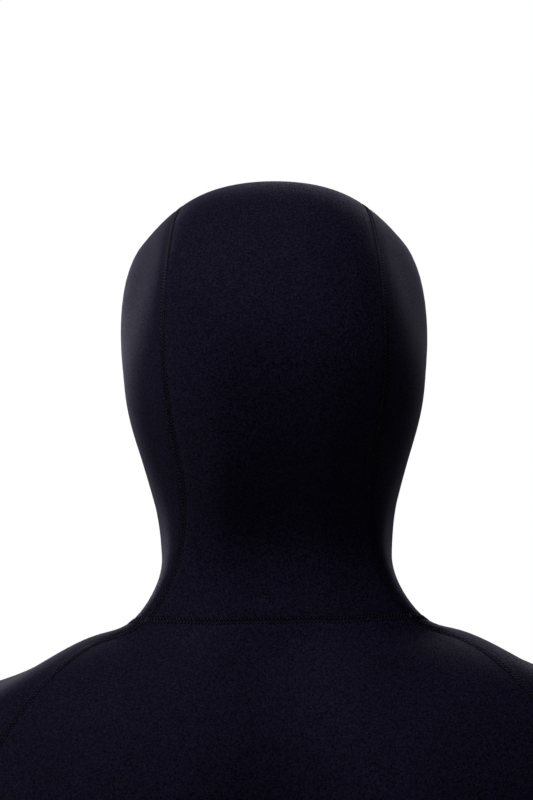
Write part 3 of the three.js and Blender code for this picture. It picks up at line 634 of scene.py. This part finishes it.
def punctures(path, radius):
    """A small dimple at each turn of the thread; its near-black material is painted shade inside the needle
    hole.
    """
    verts, faces = [], []
    for k, (point, normal) in enumerate(path):
        way = path[min(k + 1, len(path) - 1)][0] - path[max(k - 1, 0)][0]
        way /= np.linalg.norm(way)
        across = np.cross(normal, way)
        base = len(verts)
        top, bottom = base + HOLE_SIDES, base + HOLE_SIDES + 1
        for j in range(HOLE_SIDES):
            turn = j * 2 * math.pi / HOLE_SIDES
            out = way * HOLE_SHARE * math.cos(turn) + across * math.sin(turn)
            verts.append(point + radius * out - normal * HOLE_EDGE)
        verts.append(point + normal * THREAD_LIFT)
        verts.append(point - normal * HOLE_DEPTH)
        for j in range(HOLE_SIDES):
            here, onward = base + j, base + (j + 1) % HOLE_SIDES
            faces += [(here, onward, top), (onward, here, bottom)]
    return verts, faces


def make_stitching(owner, chains):
    """The zigzag thread and the needle holes of every seam that a piece carries."""
    sizes = bpy.context.scene.wetsuit_sizes
    verts, faces = [], []
    paths = [zigzag(chain, sizes) for chain in chains]
    for make, radius in ((sweep, sizes.thread), (punctures, sizes.puncture)):
        holes = len(faces)
        for path in paths:
            v, f = make(path, radius)
            faces += [tuple(i + len(verts) for i in face) for face in f]
            verts += v
    obj = new_object(f"{owner}_stitching", verts, faces)
    obj.data.materials.append(thread_material())
    obj.data.materials.append(needle_hole_shade_material())
    obj.data.polygons.foreach_set("material_index", [int(i >= holes) for i in range(len(faces))])
    attach(obj, PANELS[owner][2])


def rim_edges():
    """The skin's free edges, by panel."""
    s = skin()
    owner = {}
    for face, number in zip(s["quads"], s["panel"]):
        for a, b in zip(face, face[1:] + face[:1]):
            key = (min(a, b), max(a, b))
            owner.setdefault(key, []).append(s["names"][number])
    edges = {}
    for key, names in owner.items():
        if len(names) == 1:
            edges.setdefault(names[0], []).append(key)
    return edges


def rim_ways():
    """For each point on a free edge, the direction along the skin away from that edge."""
    s = skin()
    ways = {}
    for face in s["quads"]:
        for a, b in zip(face, face[1:] + face[:1]):
            for i, j in ((a, b), (b, a)):
                if s["rim"][i] and not s["rim"][j]:
                    ways.setdefault(i, []).append(s["co"][j] - s["co"][i])
    return {i: sum(w) / np.linalg.norm(sum(w)) for i, w in ways.items()}


def make_rim_stitching(name, panels, movement, inset):
    """A running stitch beside a free edge."""
    s = skin()
    sizes = bpy.context.scene.wetsuit_sizes
    ways = rim_ways()
    edges = rim_edges()
    verts, faces = [], []
    for chain in chains_of([e for panel in panels for e in edges.get(panel, [])]):
        chain = [i for i in chain if i in ways]
        if len(chain) < 3:
            continue
        line = np.array([s["co"][i] + inset * ways[i] for i in chain])
        normals = s["normals"][chain]
        along = np.concatenate([[0], np.cumsum(np.linalg.norm(np.diff(line, axis=0), axis=1))])
        at = 0.0
        while at + sizes.stitch_pitch < along[-1]:
            path = []
            for share, lift in RUNNING_STITCH:
                d = at + share * sizes.stitch_pitch
                point = np.array([np.interp(d, along, line[:, k]) for k in range(3)])
                normal = np.array([np.interp(d, along, normals[:, k]) for k in range(3)])
                normal /= np.linalg.norm(normal)
                path.append((point + normal * lift, normal))
            v, f = sweep(path, RUNNING_THREAD * sizes.thread)
            faces += [tuple(i + len(verts) for i in face) for face in f]
            verts += v
            at += sizes.stitch_pitch
    obj = new_object(name, verts, faces)
    obj.data.materials.append(thread_material())
    attach(obj, movement)


# ---- seals, knee pads and zip --------------------------------------------------------------------
# Folds below which two triangles are one quad, above which a seal's edge stays nearly sharp, and that
# sharpness.
FLAT_PAIR = 0.9
BAND_FOLD = math.radians(48)
BAND_SHARPNESS = 0.7


def welded_copy(node, name):
    """A new object with the CAD node's shape, its triangles joined into quads."""
    bm = bmesh.new()
    bm.from_mesh(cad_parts[node].data)
    bm.transform(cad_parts[node].matrix_world)
    bmesh.ops.remove_doubles(bm, verts=bm.verts, dist=SAME_POINT)
    bmesh.ops.join_triangles(
        bm, faces=bm.faces[:], angle_face_threshold=FLAT_PAIR, angle_shape_threshold=ANY_ANGLE)
    mesh = bpy.data.meshes.new(name)
    bm.to_mesh(mesh)
    bm.free()
    obj = bpy.data.objects.new(name, mesh)
    bpy.context.scene.collection.objects.link(obj)
    return obj


def make_band(node, name, movement, levels=2):
    """A seal or flap: the CAD's band smoothed, its edges kept nearly sharp."""
    obj = welded_copy(node, name)
    bm = bmesh.new()
    bm.from_mesh(obj.data)
    crease = bm.edges.layers.float.new("crease_edge")
    for edge in bm.edges:
        if len(edge.link_faces) == 2 and edge.calc_face_angle(0) > BAND_FOLD:
            edge[crease] = BAND_SHARPNESS
    bm.to_mesh(obj.data)
    bm.free()
    smoother = obj.modifiers.new("smooth", "SUBSURF")
    smoother.levels = smoother.render_levels = levels
    apply_modifiers(obj)
    bpy.ops.object.shade_smooth_by_angle(angle=math.radians(50))
    obj.data.materials.clear()
    obj.data.materials.append(smooth_skin_material())
    attach(obj, movement)
    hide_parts(node)
    return obj


# The knee pad's moulded grooves: chevrons PAD_PITCH apart that drop by PAD_SLOPE towards the sides, each
# PAD_LINE from its middle to level rubber, fading out over PAD_FADE before PAD_HALF_WIDTH.
PAD_PITCH = 0.0135
PAD_SLOPE = 0.32
PAD_LINE = 0.0019
PAD_HALF_WIDTH = 0.052
PAD_FADE = 0.006
PAD_GROOVE = 0.0009


def pad_groove(x, z):
    """Depth of the knee pad's grooves at a point, as a share of the deepest."""
    chevron = (z + PAD_SLOPE * abs(x)) / PAD_PITCH
    away = abs(chevron - round(chevron)) * PAD_PITCH
    line = max(0.0, 1 - (away / PAD_LINE) ** 2)
    return line * min(1.0, max(0.0, (PAD_HALF_WIDTH - abs(x)) / PAD_FADE))


def make_pad(side):
    """A knee pad: smoothed like a seal, with grooves in the part that faces ahead and not in its edges."""
    obj = make_band(f"{side}_knee_pad", f"{side}_knee_print", f"{side}_knee", levels=3)
    mesh = obj.data
    middle = sum((v.co for v in mesh.vertices), Vector()) / len(mesh.vertices)
    normals = [v.normal.copy() for v in mesh.vertices]
    edge = {i for p in mesh.polygons for i in p.vertices if abs(p.normal.z) > 0.8 or p.normal.y > -0.1}
    for v, normal in zip(mesh.vertices, normals):
        if normal.y < -0.25 and v.index not in edge:
            v.co -= normal * PAD_GROOVE * pad_groove(v.co.x - middle.x, v.co.z - middle.z)
    obj.data.materials.clear()
    obj.data.materials.append(pad_material())


# The zip's own place: its top, its lean backwards, its length, and how deep its teeth's faces lie.
ZIP_TOP = Vector((0, -0.093, -0.002))
ZIP_LEAN = math.radians(-3.3)
ZIP_LENGTH = 0.43
CHAIN_TOP = 0.00384

# One tooth across and up the zip in millimetres, from its root to its head; the depths at which that
# outline is repeated, with its size there; where the teeth begin and end.
TOOTH_OUTLINE = [
    (3.5, -0.62), (3.5, 0.62), (1.3, 0.62), (0.55, 0.4), (-0.45, 0.68), (-0.85, 0.38),
    (-0.85, -0.38), (-0.45, -0.68), (0.55, -0.4), (1.3, -0.62),
]
TOOTH_MIDDLE = 1.3
TOOTH_RINGS = [(0.0071, 1.0), (CHAIN_TOP + 0.0005, 1.0), (CHAIN_TOP, 0.8)]
TEETH_TOP = -0.0075
TEETH_BOTTOM = -0.4133

# A tape's section, across and into the suit, from its rounded inner edge outward and back; the rows
# along it, and the height and pace of its slight waviness beyond the inner edge.
TAPE_SECTION = [
    (0.00022, 0.0074), (0.0007, 0.0071), (0.0014, 0.00735), (0.0055, 0.0075), (0.0108, 0.00745),
    (0.0158, 0.0076), (0.0161, 0.008), (0.0158, 0.0083), (0.0108, 0.0083), (0.0014, 0.0083),
    (0.0004, 0.0082),
]
TAPE_ROWS = 220
TAPE_WAVE = 0.00012
TAPE_PACE = 0.9
TAPE_STRAIGHT = 0.002


def zip_point(x, y, z):
    """A point given across the zip, into the suit and up the zip."""
    c, s = math.cos(ZIP_LEAN), math.sin(ZIP_LEAN)
    return ZIP_TOP + Vector((x, y * c - z * s, y * s + z * c))


def zip_object(name, verts, faces, made, node):
    """A piece of the zip given in the zip's own place, which stands for a CAD node."""
    obj = new_object(name, [zip_point(*v) for v in verts], faces, smooth=False)
    bm = bmesh.new()
    bm.from_mesh(obj.data)
    bmesh.ops.recalc_face_normals(bm, faces=bm.faces[:])
    bm.to_mesh(obj.data)
    bm.free()
    select_only(obj)
    bpy.ops.object.shade_smooth_by_angle(angle=math.radians(40))
    obj.data.materials.append(made)
    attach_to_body(obj, "trunk")
    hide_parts(node)


def make_teeth(side, mirror):
    """Moulded teeth: each a block on the tape, with a narrow neck and a head that locks with the others'."""
    pitch = bpy.context.scene.wetsuit_sizes.tooth_pitch
    n = len(TOOTH_OUTLINE)
    verts, faces = [], []
    z = TEETH_TOP - (pitch / 2 if mirror < 0 else 0)
    while z > TEETH_BOTTOM:
        base = len(verts)
        for depth, scale in TOOTH_RINGS:
            for x, h in TOOTH_OUTLINE:
                across = TOOTH_MIDDLE + (x - TOOTH_MIDDLE) * scale
                verts.append((mirror * across / 1000, depth, z + h * scale / 1000))
        last = len(TOOTH_RINGS) - 1
        for r in range(last):
            here, onward = base + r * n, base + (r + 1) * n
            faces += [(here + j, here + (j + 1) % n, onward + (j + 1) % n, onward + j) for j in range(n)]
        faces += [tuple(base + j for j in range(n)), tuple(base + last * n + j for j in range(n))]
        z -= pitch
    zip_object(f"zip_chain_{side}", verts, faces, zip_material(), f"zip_teeth_{side}")


def make_tape(side, mirror):
    """A woven tape with a rounded cord along its inner edge."""
    n = len(TAPE_SECTION)
    verts, faces = [], []
    for r in range(TAPE_ROWS + 1):
        z = -ZIP_LENGTH * r / TAPE_ROWS
        wave = TAPE_WAVE * math.sin(r * TAPE_PACE)
        verts += [(mirror * x, y + (wave if TAPE_STRAIGHT < x else 0), z) for x, y in TAPE_SECTION]
        if r:
            here, onward = (r - 1) * n, r * n
            faces += [(here + j, here + (j + 1) % n, onward + (j + 1) % n, onward + j) for j in range(n)]
    faces += [tuple(range(n)), tuple(TAPE_ROWS * n + j for j in range(n))]
    zip_object(f"zip_band_{side}", verts, faces, tape_material(), f"zip_tape_{side}")


def make_moulded(node, name, body):
    """A hard piece of the zip: the CAD's shape with its edges rounded."""
    obj = welded_copy(node, name)
    bevel = obj.modifiers.new("round", "BEVEL")
    bevel.width = 0.00035
    bevel.segments = 3
    bevel.angle_limit = math.radians(40)
    apply_modifiers(obj)
    bpy.ops.object.shade_smooth_by_angle(angle=math.radians(35))
    obj.data.materials.clear()
    obj.data.materials.append(zip_material())
    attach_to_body(obj, body)
    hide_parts(node)


# ---- materials -----------------------------------------------------------------------------------
def material(name):
    """A new node material, or the one of that name; returns it, its node adder and its shader."""
    known = bpy.data.materials.get(name)
    if known:
        return known, None, None
    made = bpy.data.materials.new(name)
    made.use_nodes = True
    tree = made.node_tree
    shader = tree.nodes["Principled BSDF"]

    def add(kind, **settings):
        node = tree.nodes.new(kind)
        for key, value in settings.items():
            if key in node.inputs:
                node.inputs[key].default_value = value
            else:
                setattr(node, key, value)
        return node

    add.link = lambda a, b: tree.links.new(a, b)
    return made, add, shader


def coloured(add, factor, dark, light):
    """A colour between dark and light, by factor."""
    ramp = add("ShaderNodeMix", data_type="RGBA")
    ramp.inputs["A"].default_value = (*dark, 1)
    ramp.inputs["B"].default_value = (*light, 1)
    add.link(factor, ramp.inputs["Factor"])
    return ramp.outputs["Result"]


def jersey_material():
    made, add, shader = material("nylon_jersey")
    if add is None:
        return made
    colour = bpy.context.scene.wetsuit_colours.jersey
    place = add("ShaderNodeTexCoord").outputs["Object"]
    grain = add("ShaderNodeTexNoise", Scale=900.0, Detail=2.0, Roughness=0.7)
    knit = add("ShaderNodeTexVoronoi", Scale=1300.0)
    cloud = add("ShaderNodeTexNoise", Scale=22.0, Detail=3.0)
    for node in (grain, knit, cloud):
        add.link(place, node.inputs["Vector"])
    # Painted glints in part: the lighter specks, up to four times the jersey's colour, stand for sheen
    # glinting on the fibres as well as for the jersey's own uneven tone.
    speckle_and_glints = add("ShaderNodeMapRange")
    speckle_and_glints.inputs["From Min"].default_value = 0.36
    speckle_and_glints.inputs["From Max"].default_value = 0.68
    add.link(grain.outputs["Fac"], speckle_and_glints.inputs["Value"])
    tone_and_glints = coloured(add, speckle_and_glints.outputs["Result"], (0.0, 0.0, 0.0), [c * 4.0 for c in colour])
    patch = add("ShaderNodeMix", data_type="RGBA", blend_type="MULTIPLY")
    patch.inputs["Factor"].default_value = 0.5
    add.link(tone_and_glints, patch.inputs["A"])
    add.link(cloud.outputs["Fac"], patch.inputs["B"])
    # Painted shade: the jersey's colour is darkened beside a seam, down to 0.35 of it at the seam, as the
    # shade in the seam's valley.
    edge = add("ShaderNodeAttribute", attribute_name="edge_distance")
    seam_shade_factor = add("ShaderNodeMapRange", interpolation_type="SMOOTHSTEP")
    seam_shade_factor.inputs["From Min"].default_value = 0.0
    seam_shade_factor.inputs["From Max"].default_value = 0.0026
    seam_shade_factor.inputs["To Min"].default_value = 0.35
    seam_shade_factor.inputs["To Max"].default_value = 1.0
    add.link(edge.outputs["Fac"], seam_shade_factor.inputs["Value"])
    seam_shaded_colour = add("ShaderNodeVectorMath", operation="SCALE")
    add.link(patch.outputs["Result"], seam_shaded_colour.inputs[0])
    add.link(seam_shade_factor.outputs["Result"], seam_shaded_colour.inputs["Scale"])
    add.link(seam_shaded_colour.outputs["Vector"], shader.inputs["Base Color"])
    rough = add("ShaderNodeMapRange")
    rough.inputs["To Min"].default_value = 0.62
    rough.inputs["To Max"].default_value = 0.86
    add.link(knit.outputs["Distance"], rough.inputs["Value"])
    add.link(rough.outputs["Result"], shader.inputs["Roughness"])
    bump = add("ShaderNodeBump", Strength=0.35, Distance=0.0004)
    height = add("ShaderNodeMath", operation="ADD")
    add.link(knit.outputs["Distance"], height.inputs[0])
    add.link(grain.outputs["Fac"], height.inputs[1])
    add.link(height.outputs["Value"], bump.inputs["Height"])
    add.link(bump.outputs["Normal"], shader.inputs["Normal"])
    shader.inputs["Specular IOR Level"].default_value = 0.12
    shader.inputs["Specular Tint"].default_value = (0.7, 0.66, 1.0, 1)
    shader.inputs["Sheen Weight"].default_value = 0.05
    shader.inputs["Sheen Roughness"].default_value = 0.3
    shader.inputs["Sheen Tint"].default_value = (0.6, 0.6, 1.0, 1)
    return made


def thread_material():
    made, add, shader = material("stitching_thread")
    if add is None:
        return made
    colour = bpy.context.scene.wetsuit_colours.thread
    place = add("ShaderNodeTexCoord").outputs["Object"]
    twist_and_highlights = add("ShaderNodeTexWave", Scale=1500.0, Distortion=1.0)
    add.link(place, twist_and_highlights.inputs["Vector"])
    # Painted sheen and highlights: the thread's colour is lighter than the jersey's, and its twist bands
    # brighten it up to 1.6 times, partly the plies' own tone.
    add.link(coloured(add, twist_and_highlights.outputs["Fac"], [c * 0.6 for c in colour], [c * 1.6 for c in colour]),
             shader.inputs["Base Color"])
    bump = add("ShaderNodeBump", Strength=0.4, Distance=0.0001)
    add.link(twist_and_highlights.outputs["Fac"], bump.inputs["Height"])
    add.link(bump.outputs["Normal"], shader.inputs["Normal"])
    shader.inputs["Roughness"].default_value = 0.5
    return made


def needle_hole_shade_material():
    made, add, shader = material("needle_holes_painted_shade")
    if add is None:
        return made
    place = add("ShaderNodeTexCoord").outputs["Object"]
    shade = add("ShaderNodeTexNoise", Scale=800.0)
    add.link(place, shade.inputs["Vector"])
    # Painted shade: near-black, far darker than the jersey, for the shade inside each needle hole.
    add.link(coloured(add, shade.outputs["Fac"], (0.0004, 0.0004, 0.0006), (0.0012, 0.0011, 0.0018)),
             shader.inputs["Base Color"])
    shader.inputs["Roughness"].default_value = 0.95
    shader.inputs["Specular IOR Level"].default_value = 0.02
    return made


def smooth_skin_material():
    made, add, shader = material("smooth_skin_neoprene")
    if add is None:
        return made
    colour = bpy.context.scene.wetsuit_colours.smooth_skin
    place = add("ShaderNodeTexCoord").outputs["Object"]
    pores = add("ShaderNodeTexNoise", Scale=420.0, Detail=5.0)
    add.link(place, pores.inputs["Vector"])
    add.link(coloured(add, pores.outputs["Fac"], [c * 0.6 for c in colour], [c * 1.5 for c in colour]),
             shader.inputs["Base Color"])
    rough = add("ShaderNodeMapRange")
    rough.inputs["To Min"].default_value = 0.28
    rough.inputs["To Max"].default_value = 0.5
    add.link(pores.outputs["Fac"], rough.inputs["Value"])
    add.link(rough.outputs["Result"], shader.inputs["Roughness"])
    bump = add("ShaderNodeBump", Strength=0.2, Distance=0.0003)
    add.link(pores.outputs["Fac"], bump.inputs["Height"])
    add.link(bump.outputs["Normal"], shader.inputs["Normal"])
    return made


def pad_material():
    made, add, shader = material("knee_pad_rubber")
    if add is None:
        return made
    colour = bpy.context.scene.wetsuit_colours.pad
    place = add("ShaderNodeTexCoord").outputs["Object"]
    cells = add("ShaderNodeTexVoronoi", Scale=650.0)
    dust = add("ShaderNodeTexNoise", Scale=60.0, Detail=4.0)
    for node in (cells, dust):
        add.link(place, node.inputs["Vector"])
    add.link(coloured(add, dust.outputs["Fac"], [c * 0.6 for c in colour], [c * 1.5 for c in colour]),
             shader.inputs["Base Color"])
    bump = add("ShaderNodeBump", Strength=0.5, Distance=0.0004)
    add.link(cells.outputs["Distance"], bump.inputs["Height"])
    add.link(bump.outputs["Normal"], shader.inputs["Normal"])
    shader.inputs["Roughness"].default_value = 0.55
    return made


def tape_material():
    made, add, shader = material("woven_tape")
    if add is None:
        return made
    # The tape takes the thread's colour, painted sheen included.
    colour = bpy.context.scene.wetsuit_colours.thread
    place = add("ShaderNodeTexCoord").outputs["Object"]
    warp = add("ShaderNodeTexWave", Scale=420.0, Distortion=0.6)
    weft = add("ShaderNodeTexWave", Scale=420.0, Distortion=0.6, bands_direction="Z")
    for node in (warp, weft):
        add.link(place, node.inputs["Vector"])
    weave = add("ShaderNodeMath", operation="MULTIPLY")
    add.link(warp.outputs["Fac"], weave.inputs[0])
    add.link(weft.outputs["Fac"], weave.inputs[1])
    add.link(coloured(add, weave.outputs["Value"], [c * 0.5 for c in colour], [c * 1.3 for c in colour]),
             shader.inputs["Base Color"])
    bump = add("ShaderNodeBump", Strength=0.5, Distance=0.0003)
    add.link(weave.outputs["Value"], bump.inputs["Height"])
    add.link(bump.outputs["Normal"], shader.inputs["Normal"])
    shader.inputs["Roughness"].default_value = 0.85
    return made


def zip_material():
    made, add, shader = material("moulded_zip")
    if add is None:
        return made
    colour = bpy.context.scene.wetsuit_colours.zip
    place = add("ShaderNodeTexCoord").outputs["Object"]
    grain = add("ShaderNodeTexNoise", Scale=700.0, Detail=3.0)
    add.link(place, grain.inputs["Vector"])
    add.link(coloured(add, grain.outputs["Fac"], [c * 0.7 for c in colour], [c * 1.4 for c in colour]),
             shader.inputs["Base Color"])
    rough = add("ShaderNodeMapRange")
    rough.inputs["To Min"].default_value = 0.25
    rough.inputs["To Max"].default_value = 0.42
    add.link(grain.outputs["Fac"], rough.inputs["Value"])
    add.link(rough.outputs["Result"], shader.inputs["Roughness"])
    bump = add("ShaderNodeBump", Strength=0.1, Distance=0.0001)
    add.link(grain.outputs["Fac"], bump.inputs["Height"])
    add.link(bump.outputs["Normal"], shader.inputs["Normal"])
    return made


# ---- operators -----------------------------------------------------------------------------------
# How far a running stitch lies from the free edge that it follows.
FACE_STITCH_INSET = 0.007
ZIP_STITCH_INSET = 0.005
WRIST_STITCH_INSET = 0.008
ANKLE_STITCH_INSET = 0.01


class WETSUIT_OT_panels(bpy.types.Operator):
    """Cut the smooth skin into its neoprene panels and give each its thickness"""

    bl_idname = "wetsuit.panels"
    bl_label = "Panels"

    def execute(self, context):
        for name in sorted(PANELS):
            make_panel(name)
        return {"FINISHED"}


class WETSUIT_OT_stitching(bpy.types.Operator):
    """Sew a zigzag thread over every seam and a running stitch beside every free edge"""

    bl_idname = "wetsuit.stitching"
    bl_label = "Stitching"

    def execute(self, context):
        for owner, chains in sorted(seam_chains().items()):
            make_stitching(owner, chains)
        hood = [name for name in PANELS if PANELS[name][2] == "neck"]
        make_rim_stitching("face_rim_stitching", hood, "neck", FACE_STITCH_INSET)
        for side in SIDES:
            make_rim_stitching(f"zip_edge_stitching_{side}", [f"chest_{side}"], "trunk", ZIP_STITCH_INSET)
            make_rim_stitching(f"{side}_wrist_hem_stitching", [f"{side}_cuff"], f"{side}_forearm",
                               WRIST_STITCH_INSET)
            make_rim_stitching(f"{side}_ankle_hem_stitching", [f"{side}_ankle"], f"{side}_shin",
                               ANKLE_STITCH_INSET)
        return {"FINISHED"}


class WETSUIT_OT_seals(bpy.types.Operator):
    """Make the smooth-skin seals at the face, wrists and ankles"""

    bl_idname = "wetsuit.seals"
    bl_label = "Seals"

    def execute(self, context):
        make_band("face_seal", "face_seal_band", "hood")
        for side in SIDES:
            make_band(f"{side}_wrist_seal", f"{side}_wrist_seal_band", f"{side}_forearm")
            make_band(f"{side}_ankle_seal", f"{side}_ankle_seal_band", f"{side}_shin")
        return {"FINISHED"}


class WETSUIT_OT_pads(bpy.types.Operator):
    """Make the grooved knee pads"""

    bl_idname = "wetsuit.pads"
    bl_label = "Knee pads"

    def execute(self, context):
        for side in SIDES:
            make_pad(side)
        return {"FINISHED"}


class WETSUIT_OT_zip(bpy.types.Operator):
    """Make the front zip: tapes, teeth, stops, slider, pull tab and the flap behind it"""

    bl_idname = "wetsuit.zip"
    bl_label = "Zip"

    def execute(self, context):
        make_band("zip_underflap", "zip_flap", "trunk")
        for side, mirror in zip(SIDES, (1, -1)):
            make_teeth(side, mirror)
            make_tape(side, mirror)
        make_moulded("zip_top_stop", "zip_stop_upper", "trunk")
        make_moulded("zip_bottom_stop", "zip_stop_lower", "trunk")
        make_moulded("zip_slider", "zip_slider_body", "zip_slider")
        make_moulded("zip_pull_tab", "zip_pull", "zip_pull_tab")
        return {"FINISHED"}


FLOOR_SIZE = 30
FLOOR_HEIGHT = -1.445

# The sky lights the suit from the front more than from the back: its strength falls from SKY_FRONT to
# SKY_BACK as the direction's Y goes through SKY_SPAN. The camera sees it plain white.
SKY_SPAN = (-0.9, 0.1)
SKY_FRONT = 0.2
SKY_BACK = 0.036
SKY_TINT = (0.86, 0.84, 1, 1)

# Each lamp: its name, its place, the point it faces, its power and its size.
LAMPS = (
    ("rim_left", (1.0, -2.0, 0.5), (0, 0, 0.05), 11.5, 0.7),
    ("rim_right", (-1.0, -2.1, 0.5), (0, 0, 0.05), 3.4, 0.7),
    ("side_left", (2.1, 0.2, 0.2), (0, 0, 0.05), 13, 1.0),
    ("key_back", (0.35, 0.85, 1.6), (0, 0, 0.15), 17, 0.4),
    ("key_front", (-0.6, -2.8, 1.6), (0, 0, -0.3), 22, 1.6),
)
LAMP_COLOUR = (0.88, 0.84, 1.0)

# The camera stands behind the suit, as far back as makes its view VIEW_WIDTH wide at the middle of the
# hood.
LENS = 135
SENSOR = 36
VIEW_WIDTH = 0.436
CAMERA_SIDE = 0.0045
CAMERA_HEIGHT = 0.201
CAMERA_ROLL = math.radians(0.8)


def make_floor():
    bpy.ops.object.select_all(action="DESELECT")
    bpy.ops.mesh.primitive_plane_add(size=FLOOR_SIZE, location=(0, 0, FLOOR_HEIGHT))
    floor = bpy.context.object
    floor.name = "floor"
    pale, add, shader = material("pale_floor")
    place = add("ShaderNodeTexCoord").outputs["Object"]
    soft = add("ShaderNodeTexNoise", Scale=3.0)
    add.link(place, soft.inputs["Vector"])
    add.link(coloured(add, soft.outputs["Fac"], (0.78, 0.78, 0.78), (0.84, 0.84, 0.84)),
             shader.inputs["Base Color"])
    shader.inputs["Roughness"].default_value = 0.9
    floor.data.materials.append(pale)


def make_sky():
    world = bpy.data.worlds.new("studio")
    world.use_nodes = True
    bpy.context.scene.world = world
    nodes, links = world.node_tree.nodes, world.node_tree.links
    background = nodes["Background"]
    way = nodes.new("ShaderNodeTexCoord")
    split = nodes.new("ShaderNodeSeparateXYZ")
    links.new(way.outputs["Generated"], split.inputs["Vector"])
    ramp = nodes.new("ShaderNodeMapRange")
    ramp.interpolation_type = "SMOOTHSTEP"
    ramp.inputs["From Min"].default_value = SKY_SPAN[0]
    ramp.inputs["From Max"].default_value = SKY_SPAN[1]
    ramp.inputs["To Min"].default_value = SKY_FRONT
    ramp.inputs["To Max"].default_value = SKY_BACK
    links.new(split.outputs["Y"], ramp.inputs["Value"])
    seen = nodes.new("ShaderNodeLightPath")
    mix = nodes.new("ShaderNodeMix")
    links.new(seen.outputs["Is Camera Ray"], mix.inputs["Factor"])
    links.new(ramp.outputs["Result"], mix.inputs["A"])
    mix.inputs["B"].default_value = 1.0
    links.new(mix.outputs["Result"], background.inputs["Strength"])
    tint = nodes.new("ShaderNodeMix")
    tint.data_type = "RGBA"
    links.new(seen.outputs["Is Camera Ray"], tint.inputs["Factor"])
    tint.inputs["A"].default_value = SKY_TINT
    tint.inputs["B"].default_value = (1, 1, 1, 1)
    links.new(tint.outputs["Result"], background.inputs["Color"])


def make_lamps():
    for name, place, aim, energy, size in LAMPS:
        light = bpy.data.lights.new(name, "AREA")
        light.energy = energy
        light.size = size
        light.color = LAMP_COLOUR
        lamp = bpy.data.objects.new(name, light)
        bpy.context.scene.collection.objects.link(lamp)
        lamp.location = place
        lamp.rotation_euler = (Vector(aim) - Vector(place)).to_track_quat("-Z", "Y").to_euler()


def make_camera():
    scene = bpy.context.scene
    camera = bpy.data.objects.new("camera", bpy.data.cameras.new("camera"))
    scene.collection.objects.link(camera)
    camera.data.lens = LENS
    camera.data.sensor_width = SENSOR
    camera.location = (CAMERA_SIDE, VIEW_WIDTH * LENS / SENSOR, CAMERA_HEIGHT)
    camera.rotation_euler = (math.radians(90), CAMERA_ROLL, math.radians(180))
    scene.camera = camera
    scene.view_settings.view_transform = "Standard"


class WETSUIT_OT_stage(bpy.types.Operator):
    """Add the floor, the sky, the lamps and the camera"""

    bl_idname = "wetsuit.stage"
    bl_label = "Stage"

    def execute(self, context):
        make_floor()
        make_sky()
        make_lamps()
        make_camera()
        return {"FINISHED"}


class WETSUIT_PT_panel(bpy.types.Panel):
    """Lists the suit's sizes, colours and operators"""

    bl_label = "Wetsuit"
    bl_idname = "WETSUIT_PT_panel"
    bl_space_type = "VIEW_3D"
    bl_region_type = "UI"
    bl_category = "Wetsuit"

    def draw(self, context):
        for group in (context.scene.wetsuit_sizes, context.scene.wetsuit_colours):
            for name in group.__annotations__:
                self.layout.prop(group, name)
        for operator in OPERATORS:
            self.layout.operator(operator.bl_idname)


OPERATORS = (WETSUIT_OT_panels, WETSUIT_OT_stitching, WETSUIT_OT_seals, WETSUIT_OT_pads, WETSUIT_OT_zip,
             WETSUIT_OT_stage)
CLASSES = (WetsuitSizes, WetsuitColours, *OPERATORS, WETSUIT_PT_panel)


def register():
    for cls in CLASSES:
        bpy.utils.register_class(cls)
    bpy.types.Scene.wetsuit_sizes = PointerProperty(type=WetsuitSizes)
    bpy.types.Scene.wetsuit_colours = PointerProperty(type=WetsuitColours)


def unregister():
    del bpy.types.Scene.wetsuit_colours
    del bpy.types.Scene.wetsuit_sizes
    for cls in reversed(CLASSES):
        bpy.utils.unregister_class(cls)


def main():
    register()
    bpy.ops.wetsuit.panels()
    bpy.ops.wetsuit.stitching()
    bpy.ops.wetsuit.seals()
    bpy.ops.wetsuit.pads()
    bpy.ops.wetsuit.zip()
    bpy.ops.wetsuit.stage()


if __name__ == "__main__":
    main()
